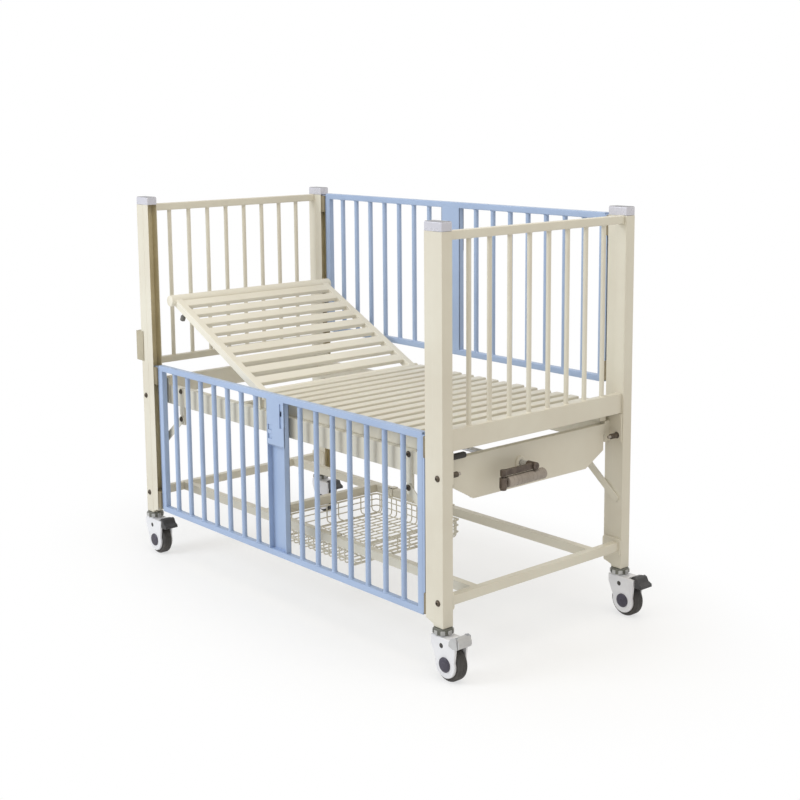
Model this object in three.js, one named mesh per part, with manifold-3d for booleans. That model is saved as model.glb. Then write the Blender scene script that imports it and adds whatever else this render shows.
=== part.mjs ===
// Pediatric hospital cot: four posts on casters, two drop guards, a cranked backrest and a wire basket.
// Millimetres, +Z up, +X towards the foot end, -Y towards the near side, origin on the floor at mid-length.
import * as THREE from "three";
import { mergeVertices } from "three/addons/utils/BufferGeometryUtils.js";
import Module from "manifold-3d";

const wasm = await Module();
wasm.setup();

// Fits shared by all pieces
const SEAT_GAP = 0.3; // between fixed pieces that lie face to face
const RUN_GAP = 0.3; // round a turning pin
const FUSE = 2; // how far a welded piece runs into its neighbour
const ROUND_SIDES = 16;
const BAR_SIDES = 12;

// Whole cot; heights from here to the casters are above the foot of the posts
const LENGTH = 1520;
const WIDTH = 770;
const CASTER_HEIGHT = 148;
const POST_HEIGHT = 1064;

// Posts: a closed tube with an open guide channel towards the guard
const POST_TUBE = 40;
const POST_CHANNEL = 30;
const POST_DEPTH = 38;
const POST_WALL = 2.5;
const CAP_HEIGHT = 26;
const CAP_CHAMFER = 4;
const CAP_PLUG = 24;

// End frames
const END_RAIL_DEPTH = 24;
const END_TOP_RAIL = 24;
const END_LOW_TOP = 536;
const FOOT_LOW_RAIL = 60;
const HEAD_LOW_RAIL = 22;
const END_BAR = 14;
const END_BARS = 8;

// Drop guards
const GUARD_GAP = 20; // guard to post
const GUARD_HEIGHT = 512;
const GUARD_LOW = 9;
const GUARD_RISE = 5; // top of the raised guard above the posts
const GUARD_DEPTH = 20;
const GUARD_RAIL = 20;
const GUARD_STILE = 22;
const GUARD_BAR = 16;
const GUARD_BARS = 7; // on each side of the centre stile
const GUARD_FIRST_BAR = 114; // from the guard's middle
const CENTRE_STILE = 88;
const STILE_SHEET = 3;
const GLIDE_INSET = 8;
const GLIDE_BLOCK = 60;
const GLIDE_STRIP = 4;
const GLIDE_PLAY = 0.6;
const GLIDE_ENTRY = 22; // into the post's channel

// Guard latch: a lifting plate behind a cover on the centre stile
const COVER_HEIGHT = 140;
const SLOT_LEFT = 22;
const SLOT_WIDTH = 12;
const SLOT_TOP = 6; // below the top rail
const SLOT_HEIGHT = 75;
const NOTCH_LEFT = -39;
const NOTCH_WIDTH = 21;
const NOTCH_LOW = 19; // above the cover's lower edge
const NOTCH_HEIGHT = 45;
const LATCH_HEIGHT = 92;
const LATCH_SHEET = 6;
const LATCH_PLAY = 0.6;
const TAB_HEIGHT = 10;
const TAB_LOW = 36; // above the cover's lower edge

// Bed frame
const BED_RAIL_WIDTH = 25;
const BED_RAIL_HEIGHT = 65;
const BED_RAIL_LOW = 385;
const BED_END_GAP = 14; // bed frame to end frame
const CROSS_WIDTH = 24;
const CROSS_HEIGHT = 40;
const HEAD_CROSS_RISE = 22; // head cross member above the side rails
const BLOCK_CROSS = -100; // cross member of the spindle block, from the hinge line
const FOOT_CROSS = 430; // cross member under the flat deck, from the hinge line
const CORNER_PLATE = 4;
const CORNER_LENGTH = 102;
const CORNER_TOP_GAP = 1; // corner plate to the foot end frame's lower rail
const CORNER_LOW = 3; // above the underside of the rail
const CORNER_EDGE = 3; // corner plate to the outer face of the post
const HANGER_X = 580;
const HANGER_WIDTH = 24;
const HANGER_THICK = 8;
const HANGER_DROP = 61;

// Corner braces
const BRACE_WIDTH = 24;
const BRACE_DROP = 41; // upper bolt below the side rail
const BRACE_FOOT = 214; // lower bolt height
const BRACE_INSET = 24; // lower bolt from the outer face of the post

// Flat deck
const DECK_TUBE = 25;
const DECK_TUBE_HEIGHT = 41;
const DECK_EDGE = 8; // slat end to rail outer face
const DECK_START = 22; // from the hinge line
const DECK_END_GAP = 2; // to the end of the bed frame
const DECK_CROSS = 20;
const SLAT_WIDTH = 36;
const SLAT_HEIGHT = 16;
const SLAT_PITCH = 57.5;

// Backrest
const BACK_LENGTH = 550;
const BACK_TUBE = 25;
const BACK_ANGLE = 26.5; // as it stands, in degrees
const BACK_MAX = 65;
const BACK_END_GAP = 11; // to the head end frame when flat
const BACK_SLATS = 9;
const BACK_SLAT_FIRST = 54;
const TOP_BAR = 34;
const TOP_BAR_OVERHANG = 12;
const HINGE_PIN = 12;
const HINGE_HEAD = 20;
const HINGE_HEAD_THICK = 4;
const HINGE_SOCKET = 18;
const LUG_WIDTH = 28;
const LUG_THICK = 8;
const LUG_INSET = 8.3; // from the inner face of the bed rail
const LUG_GAP = 1; // to the backrest tube

// Crank drive under the deck
const CRANK_DROP = 19; // spindle line below the cross members
const CRANK_OFFSET = -50;
const SPINDLE = 16;
const SPINDLE_NOSE = 12;
const NOSE_LENGTH = 14;
const BLOCK_LENGTH = 24;
const BLOCK_WIDTH = 30;
const BLOCK_DROP = 18;
const BLOCK_DEPTH = 16; // of the spindle in the block
const COLLAR = 26;
const COLLAR_WIDTH = 9;
const NUT_LENGTH = 40;
const NUT_WIDTH = 34;
const NUT_HEIGHT = 32;
const NUT_PIN = 12;
const NUT_PIN_HEAD = 26;
const NUT_PIN_HEAD_THICK = 4;
const FORK_PLATE = 6;
const FORK_GAP = 3; // fork plate to nut, and to the pin's head
const FORK_LENGTH = 135;
const FORK_WIDTH = 36;
const FORK_SHOULDER = 40; // below the torque tube, where the plate has its full width
const FORK_SLOT = 22;
const FORK_SLOT_START = 88;

// Apron and crank bush at the foot end
const APRON_SHEET = 4;
const APRON_HALF = 308;
const APRON_FOOT_HALF = 230;
const APRON_DROP = 6; // below the top of the side rails
const APRON_LAP = 2; // above the foot cross member
const APRON_SIDE_HEIGHT = 80;
const APRON_HEIGHT = 124;
const APRON_RETURN = 18;
const BUSH = 24;
const BUSH_FLANGE = 36;
const BUSH_FLANGE_THICK = 6;
const BUSH_DEPTH = 16;

// Crank handle, folded
const ARM_CLEAR = 20; // arm middle in front of the end frame
const ARM_RADIUS = 120;
const ARM_THICK = 10;
const ARM_WIDTH = 18;
const HUB = 22;
const HUB_BACK = 22; // behind the arm's middle
const HUB_FRONT = 12; // in front of the arm's middle
const FOLD_PIN = 10;
const FOLD_HEAD = 18;
const FOLD_HEAD_THICK = 5;
const KNUCKLE = 22;
const KNUCKLE_HEIGHT = 30;
const GRIP = 32;
const GRIP_LENGTH = 147;
const GRIP_START = 14; // from the fold pin
const GRIP_CLEAR = 1; // under the hub
const GRIP_BAR = 10;
const GRIP_STOP = 18;
const GRIP_STOP_THICK = 4;

// Lower frame
const LOWER_WIDTH = 24;
const LOWER_HEIGHT = 28;
const LOWER_MIDDLE = 64;
const LOWER_RAIL_HALF = 240;
const LOWER_CROSS = -105; // from the hinge line
const FOOT_PLATE = 5;
const FOOT_PLATE_WIDTH = 68;
const FOOT_PLATE_HEIGHT = 52;
const FOOT_PLATE_ROUND = 10;

// Wire basket hung on the lower frame
const BASKET_LENGTH = 426;
const BASKET_DEPTH = 66;
const BASKET_SIDE_GAP = 6; // to the lower rails
const BASKET_END_GAP = 7; // to the lower cross rail
const BASKET_SINK = 26; // rim below the top of the lower rails
const BASKET_RIM = 6;
const BASKET_WIRE = 4;
const BASKET_RIBS = 9;
const BASKET_RUNNERS = 8;
const HOOK_WIDTH = 20;
const HOOK_SHEET = 3;
const HOOK_INSET = 60;

// Infusion pole socket on the near head post
const SOCKET_HEIGHT = 102;
const SOCKET_LOW = 528;
const SOCKET_WIDTH = 30;
const SOCKET_DEPTH = 27.7;
const SOCKET_BORE = 18;

// Casters; heights here are above the floor
const WHEEL = 100;
const WHEEL_WIDTH = 32;
const WHEEL_TREAD = 20;
const WHEEL_SHOULDER = 4;
const WHEEL_HUB = 80;
const WHEEL_HUB_WIDTH = 28;
const WHEEL_SEGMENTS = 24;
const TRAIL = 32;
const CHEEK = 7;
const CHEEK_GAP = 1.5; // to the wheel
const CHEEK_RADIUS = 38;
const CHEEK_ARC_START = 20; // degrees up from the axle, front and back
const CHEEK_ARC_END = 170;
const CHEEK_TOP = 122;
const CHEEK_BACK = -28;
const CHEEK_FRONT = 74;
const CHEEK_SHOULDER = 22;
const CHEEK_EYE = 9;
const CHEEK_EYE_X = 18;
const CHEEK_EYE_Z = 100;
const BRIDGE_HEIGHT = 16;
const BRIDGE_LENGTH = 56;
const SWIVEL_BOSS = 54;
const KINGPIN = 14;
const SWIVEL_COLLAR = 62;
const SWIVEL_COLLAR_THICK = 13;
const STEM_HEIGHT = 40;
const AXLE = 10;
const AXLE_CAP = 44;
const AXLE_CAP_THICK = 3;
const AXLE_DOME = 36;
const AXLE_DOME_THICK = 2;

// Caster pedals, outlined from their pivot
const PEDAL_PIN = 8;
const PEDAL_X = 62;
const PEDAL_Z = 112;
const PEDAL_NECK = 32;
const PEDAL_WIDTH = 48;
const PEDAL_NECK_END = 15;
const BRAKE_OUTLINE = [
  [-8, -9],
  [-8, 5],
  [2, 13],
  [18, 15],
  [32, 7],
  [50, -14],
  [46, -20],
  [30, -12],
  [12, -12],
];
const PLAIN_OUTLINE = [
  [-8, -9],
  [-8, 5],
  [2, 13],
  [18, 17],
  [28, 8],
  [30, -8],
  [22, -13],
  [12, -12],
];

function finish(color, roughness, metalness) {
  return new THREE.MeshStandardMaterial({ color, roughness, metalness });
}

// Finishes
const cream = finish(0xe4dfd0, 0.45, 0.1);
const blue = finish(0x9dbbe8, 0.4, 0.1);
const silver = finish(0xb6b6b8, 0.35, 0.3);
const nylon = finish(0x5a554c, 0.55, 0);
const steel = finish(0xb9bbbe, 0.3, 0.9);
const darkSteel = finish(0x46403a, 0.45, 0.6);
const gripPlastic = finish(0x8b8178, 0.55, 0);
const shellPlastic = finish(0xebebf0, 0.4, 0);
const hubPlastic = finish(0x4b4655, 0.5, 0);
const tyreRubber = finish(0x35322f, 0.8, 0);
const pedalBlack = finish(0x333333, 0.55, 0);
const pedalGrey = finish(0xb9b9b9, 0.5, 0);

// Two ends of a range on the side that the sign names, lower one first.
function range(sign, a, b) {
  return sign > 0 ? [a, b] : [-b, -a];
}

// A box from its two corners.
function block(x0, x1, y0, y1, z0, z1) {
  const box = new THREE.BoxGeometry(x1 - x0, y1 - y0, z1 - z0);
  return box.translate((x0 + x1) / 2, (y0 + y1) / 2, (z0 + z1) / 2);
}

// A box centred on x and y.
function column(width, depth, z0, z1) {
  return block(-width / 2, width / 2, -depth / 2, depth / 2, z0, z1);
}

// A round bar along one axis, centred on the other two.
function rod(axis, diameter, from, to, sides = ROUND_SIDES) {
  const bar = new THREE.CylinderGeometry(diameter / 2, diameter / 2, to - from, sides);
  bar.translate(0, (from + to) / 2, 0);
  if (axis === "x") bar.rotateZ(-Math.PI / 2);
  if (axis === "z") bar.rotateX(Math.PI / 2);
  return bar;
}

// A closed outline through the given points.
function outline(points) {
  return new THREE.Shape(points.map(([u, v]) => new THREE.Vector2(u, v)));
}

// A rectangle with round corners, centred on the origin.
function roundedOutline(width, height, radius) {
  const w = width / 2 - radius;
  const h = height / 2 - radius;
  const shape = new THREE.Shape();
  shape.absarc(w, h, radius, 0, Math.PI / 2);
  shape.absarc(-w, h, radius, Math.PI / 2, Math.PI);
  shape.absarc(-w, -h, radius, Math.PI, 1.5 * Math.PI);
  shape.absarc(w, -h, radius, 1.5 * Math.PI, 2 * Math.PI);
  return shape;
}

function extruded(shape, depth) {
  return new THREE.ExtrudeGeometry(shape, { depth, bevelEnabled: false, curveSegments: 5 });
}

// A plate whose outline lies in the X-Z plane.
function sidePlate(shape, y0, y1) {
  const toSide = new THREE.Matrix4().makeBasis(
    new THREE.Vector3(1, 0, 0),
    new THREE.Vector3(0, 0, 1),
    new THREE.Vector3(0, -1, 0),
  );
  return extruded(shape, y1 - y0).applyMatrix4(toSide).translate(0, y1, 0);
}

// A plate whose outline lies in the Y-Z plane.
function endPlate(shape, x0, x1) {
  const toEnd = new THREE.Matrix4().makeBasis(
    new THREE.Vector3(0, 1, 0),
    new THREE.Vector3(0, 0, 1),
    new THREE.Vector3(1, 0, 0),
  );
  return extruded(shape, x1 - x0).applyMatrix4(toEnd).translate(x0, 0, 0);
}

function toSolid(geometry) {
  const bare = geometry.clone();
  bare.deleteAttribute("normal");
  bare.deleteAttribute("uv");
  const merged = mergeVertices(bare, 1e-4);
  const vertProperties = merged.attributes.position.array;
  const triVerts = new Uint32Array(merged.index.array);
  return new wasm.Manifold(new wasm.Mesh({ numProp: 3, vertProperties, triVerts }));
}

function toGeometry(manifold) {
  const { vertProperties, triVerts } = manifold.getMesh();
  const geometry = new THREE.BufferGeometry();
  geometry.setAttribute("position", new THREE.BufferAttribute(vertProperties, 3));
  geometry.setIndex(new THREE.BufferAttribute(triVerts, 1));
  return geometry;
}

function weld(...pieces) {
  return toGeometry(pieces.map(toSolid).reduce((whole, next) => whole.add(next)));
}

function cut(base, ...tools) {
  return toGeometry(tools.map(toSolid).reduce((left, tool) => left.subtract(tool), toSolid(base)));
}

function piece(name, geometry, material) {
  const mesh = new THREE.Mesh(geometry, material);
  mesh.name = name;
  return mesh;
}

// Both signs of an axis: -1 is the head end or the near side, +1 the foot end or the far side
const ENDS = { head: -1, foot: 1 };
const SIDES = { near: -1, far: 1 };
const SIGNS = [-1, 1];

// Places that several pieces share
const postX = LENGTH / 2 - POST_TUBE / 2;
const postY = WIDTH / 2 - POST_DEPTH / 2;
const innerFace = WIDTH / 2 - POST_DEPTH;
const channelMouth = LENGTH / 2 - POST_TUBE - POST_CHANNEL;
const postMiddle = (LENGTH / 2 + channelMouth) / 2;
const endFrameInner = postX - END_RAIL_DEPTH / 2;
const endFrameOuter = postX + END_RAIL_DEPTH / 2;
const guardHalf = channelMouth - GUARD_GAP;
const bedHalf = endFrameInner - BED_END_GAP;
const railOuter = innerFace - SEAT_GAP - CORNER_PLATE;
const railInner = railOuter - BED_RAIL_WIDTH;
const railTop = BED_RAIL_LOW + BED_RAIL_HEIGHT;
const crossLow = railTop - CROSS_HEIGHT;
const crankZ = crossLow - CRANK_DROP;
const deckTop = railTop + DECK_TUBE_HEIGHT + SLAT_HEIGHT;
const lugInner = railInner + LUG_INSET;
const backOuter = lugInner - LUG_GAP;
const hingeX = -endFrameInner + BACK_END_GAP + TOP_BAR / 2 + BACK_LENGTH;
const hingeZ = deckTop - BACK_TUBE / 2;
const blockX = hingeX + BLOCK_CROSS;
const apronInner = bedHalf + SEAT_GAP;
const apronOuter = apronInner + APRON_SHEET;
const armX = endFrameOuter + ARM_CLEAR;

// A post in its own frame: the tube stands on the origin and the channel opens towards +X.
function post() {
  const web = POST_TUBE / 2;
  const mouth = web + POST_CHANNEL;
  const outside = POST_DEPTH / 2;
  const inside = outside - POST_WALL;
  const hollow = web - POST_WALL;
  const profile = outline([
    [-web, -outside],
    [mouth, -outside],
    [mouth, -inside],
    [web, -inside],
    [web, inside],
    [mouth, inside],
    [mouth, outside],
    [-web, outside],
  ]);
  profile.holes.push(outline([[-hollow, -inside], [-hollow, inside], [hollow, inside], [hollow, -inside]]));
  const intoWall = POST_WALL / 2;
  const stopTop = GUARD_LOW + GLIDE_INSET - SEAT_GAP;
  const stop = column(POST_CHANNEL, 2 * (inside + intoWall), 0, stopTop);
  return weld(extruded(profile, POST_HEIGHT), stop.translate(mouth - POST_CHANNEL / 2 - intoWall, 0, 0));
}

// A plug that slips into an end of the post's tube.
function tubePlug(z0, z1) {
  const lost = 2 * POST_WALL + 2 * SEAT_GAP;
  return column(POST_TUBE - lost, POST_DEPTH - lost, z0, z1);
}

function postCap() {
  const width = POST_TUBE + POST_CHANNEL;
  const top = roundedOutline(width - 2 * CAP_CHAMFER, POST_DEPTH - 2 * CAP_CHAMFER, CAP_CHAMFER);
  const crown = new THREE.ExtrudeGeometry(top, {
    depth: 2 * CAP_HEIGHT - 2 * CAP_CHAMFER,
    bevelThickness: CAP_CHAMFER,
    bevelSize: CAP_CHAMFER,
    bevelSegments: 2,
    curveSegments: 2,
  });
  crown.translate(POST_CHANNEL / 2, 0, CAP_CHAMFER - CAP_HEIGHT);
  const lowerHalf = column(3 * width, 3 * POST_DEPTH, -3 * CAP_HEIGHT, SEAT_GAP);
  return weld(cut(crown, lowerHalf), tubePlug(-CAP_PLUG, SEAT_GAP + FUSE));
}

// An end frame in its own frame, with its rails between the posts and its bars between the rails.
function endFrame(lowRailHeight) {
  const half = innerFace - SEAT_GAP;
  const topLow = POST_HEIGHT - END_TOP_RAIL;
  const topRail = column(END_RAIL_DEPTH, 2 * half, topLow, POST_HEIGHT);
  const lowRail = column(END_RAIL_DEPTH, 2 * half, END_LOW_TOP - lowRailHeight, END_LOW_TOP);
  const pitch = (2 * innerFace) / (END_BARS + 1);
  const bars = [];
  for (let i = 1; i <= END_BARS; i++) {
    const bar = rod("z", END_BAR, END_LOW_TOP - FUSE, topLow + FUSE, BAR_SIDES);
    bars.push(bar.translate(0, i * pitch - innerFace, 0));
  }
  return weld(topRail, lowRail, ...bars);
}

// A guard in its own frame: the origin is under its middle, and its outside is towards -Y.
const guardFront = -GUARD_DEPTH / 2;
const guardBack = GUARD_DEPTH / 2;
const guardTopLow = GUARD_HEIGHT - GUARD_RAIL;
const coverLow = guardTopLow - COVER_HEIGHT;

function latchCover() {
  const half = CENTRE_STILE / 2;
  const back = guardFront + STILE_SHEET;
  const cover = block(-half, half, guardFront, back, coverLow, guardTopLow + FUSE);
  const opening = (x0, width, z0, height) =>
    block(x0, x0 + width, guardFront - FUSE, back + FUSE, z0, z0 + height);
  const slot = opening(SLOT_LEFT, SLOT_WIDTH, guardTopLow - SLOT_TOP - SLOT_HEIGHT, SLOT_HEIGHT);
  const notch = opening(NOTCH_LEFT, NOTCH_WIDTH, coverLow + NOTCH_LOW, NOTCH_HEIGHT);
  return cut(cover, slot, notch);
}

function centreStile() {
  const half = CENTRE_STILE / 2;
  const low = GUARD_RAIL - FUSE;
  const high = guardTopLow + FUSE;
  const web = block(-half, half, guardBack - STILE_SHEET, guardBack, low, high);
  const ledge = block(-half, half, guardFront, guardBack, coverLow, coverLow + STILE_SHEET);
  const flanges = SIGNS.map((sign) => {
    const [x0, x1] = range(sign, half - STILE_SHEET, half);
    return block(x0, x1, guardFront, guardBack, low, high);
  });
  return weld(web, ledge, ...flanges, latchCover());
}

function guardFrame() {
  const topRail = column(2 * guardHalf, GUARD_DEPTH, guardTopLow, GUARD_HEIGHT);
  const lowRail = column(2 * guardHalf, GUARD_DEPTH, 0, GUARD_RAIL);
  const pitch = (guardHalf - GUARD_STILE / 2 - GUARD_FIRST_BAR) / GUARD_BARS;
  const uprights = [];
  for (const end of SIGNS) {
    const stile = column(GUARD_STILE, GUARD_DEPTH, FUSE, GUARD_HEIGHT - FUSE);
    uprights.push(stile.translate(end * (guardHalf - GUARD_STILE / 2), 0, 0));
    for (let i = 0; i < GUARD_BARS; i++) {
      const bar = rod("z", GUARD_BAR, GUARD_RAIL - FUSE, guardTopLow + FUSE, BAR_SIDES);
      uprights.push(bar.translate(end * (GUARD_FIRST_BAR + i * pitch), 0, 0));
    }
  }
  return weld(topRail, lowRail, centreStile(), ...uprights);
}

// A strip on the end stile, with a block at each end that runs in the post's channel.
function guardGlide(end) {
  const inner = guardHalf + SEAT_GAP;
  const half = POST_DEPTH / 2 - POST_WALL - GLIDE_PLAY;
  const low = GLIDE_INSET;
  const high = GUARD_HEIGHT - GLIDE_INSET;
  const tip = channelMouth + GLIDE_ENTRY;
  const slab = (outer, z0, z1) => block(...range(end, inner, outer), -half, half, z0, z1);
  return weld(
    slab(inner + GLIDE_STRIP, low, high),
    slab(tip, low, low + GLIDE_BLOCK),
    slab(tip, high - GLIDE_BLOCK, high),
  );
}

function latchPlate() {
  const half = CENTRE_STILE / 2 - STILE_SHEET - LATCH_PLAY;
  const front = guardFront + STILE_SHEET + LATCH_PLAY;
  const low = coverLow + STILE_SHEET + SEAT_GAP;
  const sheet = block(-half, half, front, front + LATCH_SHEET, low, low + LATCH_HEIGHT);
  const tabLeft = NOTCH_LEFT + 2 * LATCH_PLAY;
  const tabRight = NOTCH_LEFT + NOTCH_WIDTH - 2 * LATCH_PLAY;
  const tabLow = coverLow + TAB_LOW;
  const tab = block(tabLeft, tabRight, guardFront, front + FUSE, tabLow, tabLow + TAB_HEIGHT);
  return weld(sheet, tab);
}

function guard(side) {
  const group = new THREE.Group();
  group.add(piece(`${side}_guard_frame`, guardFrame(), blue));
  // The far guard stands turned half round, so its own ends change places.
  for (const [end, sign] of Object.entries(ENDS)) {
    group.add(piece(`${side}_guard_glide_${end}`, guardGlide(-SIDES[side] * sign), nylon));
  }
  group.add(piece(`${side}_guard_latch`, latchPlate(), blue));
  return group;
}

function cornerPlate(end, side) {
  const tip = LENGTH / 2 - CORNER_EDGE;
  const low = BED_RAIL_LOW + CORNER_LOW;
  const top = END_LOW_TOP - FOOT_LOW_RAIL - CORNER_TOP_GAP;
  const along = range(end, tip - CORNER_LENGTH, tip);
  return block(...along, ...range(side, railOuter - FUSE, railOuter + CORNER_PLATE), low, top);
}

// The tab under a side rail that a corner brace is bolted to.
function braceHanger(end, side) {
  const along = range(end, HANGER_X - HANGER_WIDTH / 2, HANGER_X + HANGER_WIDTH / 2);
  const across = range(side, railOuter - HANGER_THICK, railOuter);
  return block(...along, ...across, BED_RAIL_LOW - HANGER_DROP, BED_RAIL_LOW + FUSE);
}

function hingeLug(side) {
  const [y0, y1] = range(side, lugInner, lugInner + LUG_THICK);
  const eye = rod("y", LUG_WIDTH, y0, y1).translate(hingeX, 0, hingeZ);
  const half = LUG_WIDTH / 2;
  return weld(block(hingeX - half, hingeX + half, y0, y1, railTop - FUSE, hingeZ), eye);
}

function bedFrame() {
  const cross = (x, top) => column(CROSS_WIDTH, 2 * (railInner + FUSE), crossLow, top).translate(x, 0, 0);
  const endCross = bedHalf - CROSS_WIDTH / 2;
  const solids = [
    cross(endCross, railTop - APRON_DROP - APRON_LAP),
    cross(-endCross, railTop + HEAD_CROSS_RISE),
    cross(blockX, railTop),
    cross(hingeX + FOOT_CROSS, railTop),
  ];
  for (const side of SIGNS) {
    solids.push(block(-bedHalf, bedHalf, ...range(side, railInner, railOuter), BED_RAIL_LOW, railTop));
    solids.push(hingeLug(side));
    for (const end of SIGNS) solids.push(cornerPlate(end, side), braceHanger(end, side));
  }
  const bore = rod("y", HINGE_PIN + 2 * RUN_GAP, -WIDTH / 2, WIDTH / 2);
  return cut(weld(...solids), bore.translate(hingeX, 0, hingeZ));
}

// A flat bar from the hanger's outer face down to the post's inner face.
function brace(end, side) {
  const top = new THREE.Vector2(end * HANGER_X, BED_RAIL_LOW - BRACE_DROP);
  const foot = new THREE.Vector2(end * (LENGTH / 2 - BRACE_INSET), BRACE_FOOT);
  const run = foot.clone().sub(top);
  const half = BRACE_WIDTH / 2;
  const shape = new THREE.Shape();
  shape.absarc(0, 0, half, Math.PI / 2, 1.5 * Math.PI);
  shape.absarc(run.length(), 0, half, -Math.PI / 2, Math.PI / 2);
  const bar = sidePlate(shape, ...range(side, railOuter + SEAT_GAP, innerFace - SEAT_GAP));
  return bar.rotateY(-run.angle()).translate(top.x, 0, top.y);
}

function flatDeck() {
  const start = hingeX + DECK_START;
  const end = bedHalf - DECK_END_GAP;
  const slatLow = railTop + DECK_TUBE_HEIGHT;
  const across = 2 * (railOuter - DECK_EDGE);
  const solids = [block(end - DECK_CROSS, end, -backOuter, backOuter, slatLow - DECK_CROSS, slatLow + FUSE)];
  for (const side of SIGNS) {
    solids.push(block(start, end, ...range(side, backOuter - DECK_TUBE, backOuter), railTop, slatLow + FUSE));
  }
  const steps = Math.round((end - start - SLAT_WIDTH) / SLAT_PITCH);
  const pitch = (end - start - SLAT_WIDTH) / steps;
  for (let i = 0; i <= steps; i++) {
    const slat = column(SLAT_WIDTH, across, slatLow, deckTop);
    solids.push(slat.translate(start + SLAT_WIDTH / 2 + i * pitch, 0, 0));
  }
  return weld(...solids);
}

// One plate of the fork that the nut's cross pin drives, hanging from the torque tube.
function forkPlate(y0) {
  const neck = BACK_TUBE / 2;
  const half = FORK_WIDTH / 2;
  const slot = FORK_SLOT / 2;
  const shape = outline([
    [-neck, 0],
    [-half, -FORK_SHOULDER],
    [-half, -FORK_LENGTH],
    [-slot, -FORK_LENGTH],
    [-slot, -FORK_SLOT_START],
    [slot, -FORK_SLOT_START],
    [slot, -FORK_LENGTH],
    [half, -FORK_LENGTH],
    [half, -FORK_SHOULDER],
    [neck, 0],
  ]);
  const lean = THREE.MathUtils.degToRad(BACK_MAX / 2);
  return sidePlate(shape, y0, y0 + FORK_PLATE).rotateY(-lean);
}

// The backrest in its own frame: the hinge line is the Y axis, and the slats run out towards -X.
function backrest() {
  const inner = backOuter - BACK_TUBE;
  const half = BACK_TUBE / 2;
  const solids = [rod("y", BACK_TUBE, -inner - FUSE, inner + FUSE)];
  for (const side of SIGNS) {
    const [y0, y1] = range(side, inner, backOuter);
    solids.push(block(-BACK_LENGTH, 0, y0, y1, -half, half), rod("y", BACK_TUBE, y0, y1));
  }
  for (let i = 0; i < BACK_SLATS; i++) {
    const slat = column(SLAT_WIDTH, 2 * (inner + FUSE), half - SLAT_HEIGHT, half);
    solids.push(slat.translate(-BACK_SLAT_FIRST - i * SLAT_PITCH, 0, 0));
  }
  const reach = backOuter + TOP_BAR_OVERHANG;
  solids.push(rod("y", TOP_BAR, -reach, reach).translate(-BACK_LENGTH, 0, 0));
  const forkInner = NUT_WIDTH / 2 + FORK_GAP;
  solids.push(forkPlate(CRANK_OFFSET + forkInner), forkPlate(CRANK_OFFSET - forkInner - FORK_PLATE));
  const sockets = SIGNS.map((side) =>
    rod("y", HINGE_PIN + 2 * RUN_GAP, ...range(side, backOuter - HINGE_SOCKET, backOuter + FUSE)),
  );
  return cut(weld(...solids), ...sockets);
}

function hingePin(side) {
  const tip = backOuter - HINGE_SOCKET + SEAT_GAP;
  const face = lugInner + LUG_THICK + SEAT_GAP;
  const end = face + HINGE_HEAD_THICK;
  const shank = rod("y", HINGE_PIN, ...range(side, tip, end));
  const head = rod("y", HINGE_HEAD, ...range(side, face, end));
  return weld(shank, head).translate(hingeX, 0, hingeZ);
}

// The nut in its own frame, with the cross pin that stands in both fork plates.
function liftNut() {
  const body = column(NUT_LENGTH, NUT_WIDTH, -NUT_HEIGHT / 2, NUT_HEIGHT / 2);
  const face = NUT_WIDTH / 2 + 2 * FORK_GAP + FORK_PLATE;
  const end = face + NUT_PIN_HEAD_THICK;
  const heads = SIGNS.map((side) => rod("y", NUT_PIN_HEAD, ...range(side, face, end)));
  const whole = weld(body, rod("y", NUT_PIN, -end, end), ...heads);
  return cut(whole, rod("x", SPINDLE + 2 * RUN_GAP, -NUT_LENGTH, NUT_LENGTH));
}

// The drive's fixed pieces and the spindle share the spindle's line as their X axis.
function crankSpindle() {
  const tail = blockX + BLOCK_LENGTH / 2 - BLOCK_DEPTH;
  const shoulder = armX - HUB_BACK - SEAT_GAP;
  const collarFace = apronOuter - BUSH_DEPTH - SEAT_GAP;
  const collar = rod("x", COLLAR, collarFace - COLLAR_WIDTH, collarFace);
  const nose = rod("x", SPINDLE_NOSE, shoulder - FUSE, shoulder + NOSE_LENGTH);
  return weld(rod("x", SPINDLE, tail, shoulder), collar, nose);
}

function spindleBlock() {
  const half = BLOCK_LENGTH / 2;
  const body = column(BLOCK_LENGTH, BLOCK_WIDTH, -BLOCK_DROP, crossLow - SEAT_GAP - crankZ);
  const bore = rod("x", SPINDLE + 2 * RUN_GAP, half - BLOCK_DEPTH - SEAT_GAP, half + FUSE);
  return cut(body, bore).translate(blockX, 0, 0);
}

function crankBush() {
  const flangeBack = apronOuter + SEAT_GAP;
  const flangeFront = flangeBack + BUSH_FLANGE_THICK;
  const sleeve = rod("x", BUSH, apronOuter - BUSH_DEPTH, flangeFront);
  const flange = rod("x", BUSH_FLANGE, flangeBack, flangeFront);
  return cut(weld(sleeve, flange), rod("x", SPINDLE + 2 * RUN_GAP, 0, LENGTH));
}

// The crank arm, with the fold pin hanging from its end.
const gripDrop = HUB / 2 + GRIP_CLEAR + GRIP / 2;

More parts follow.
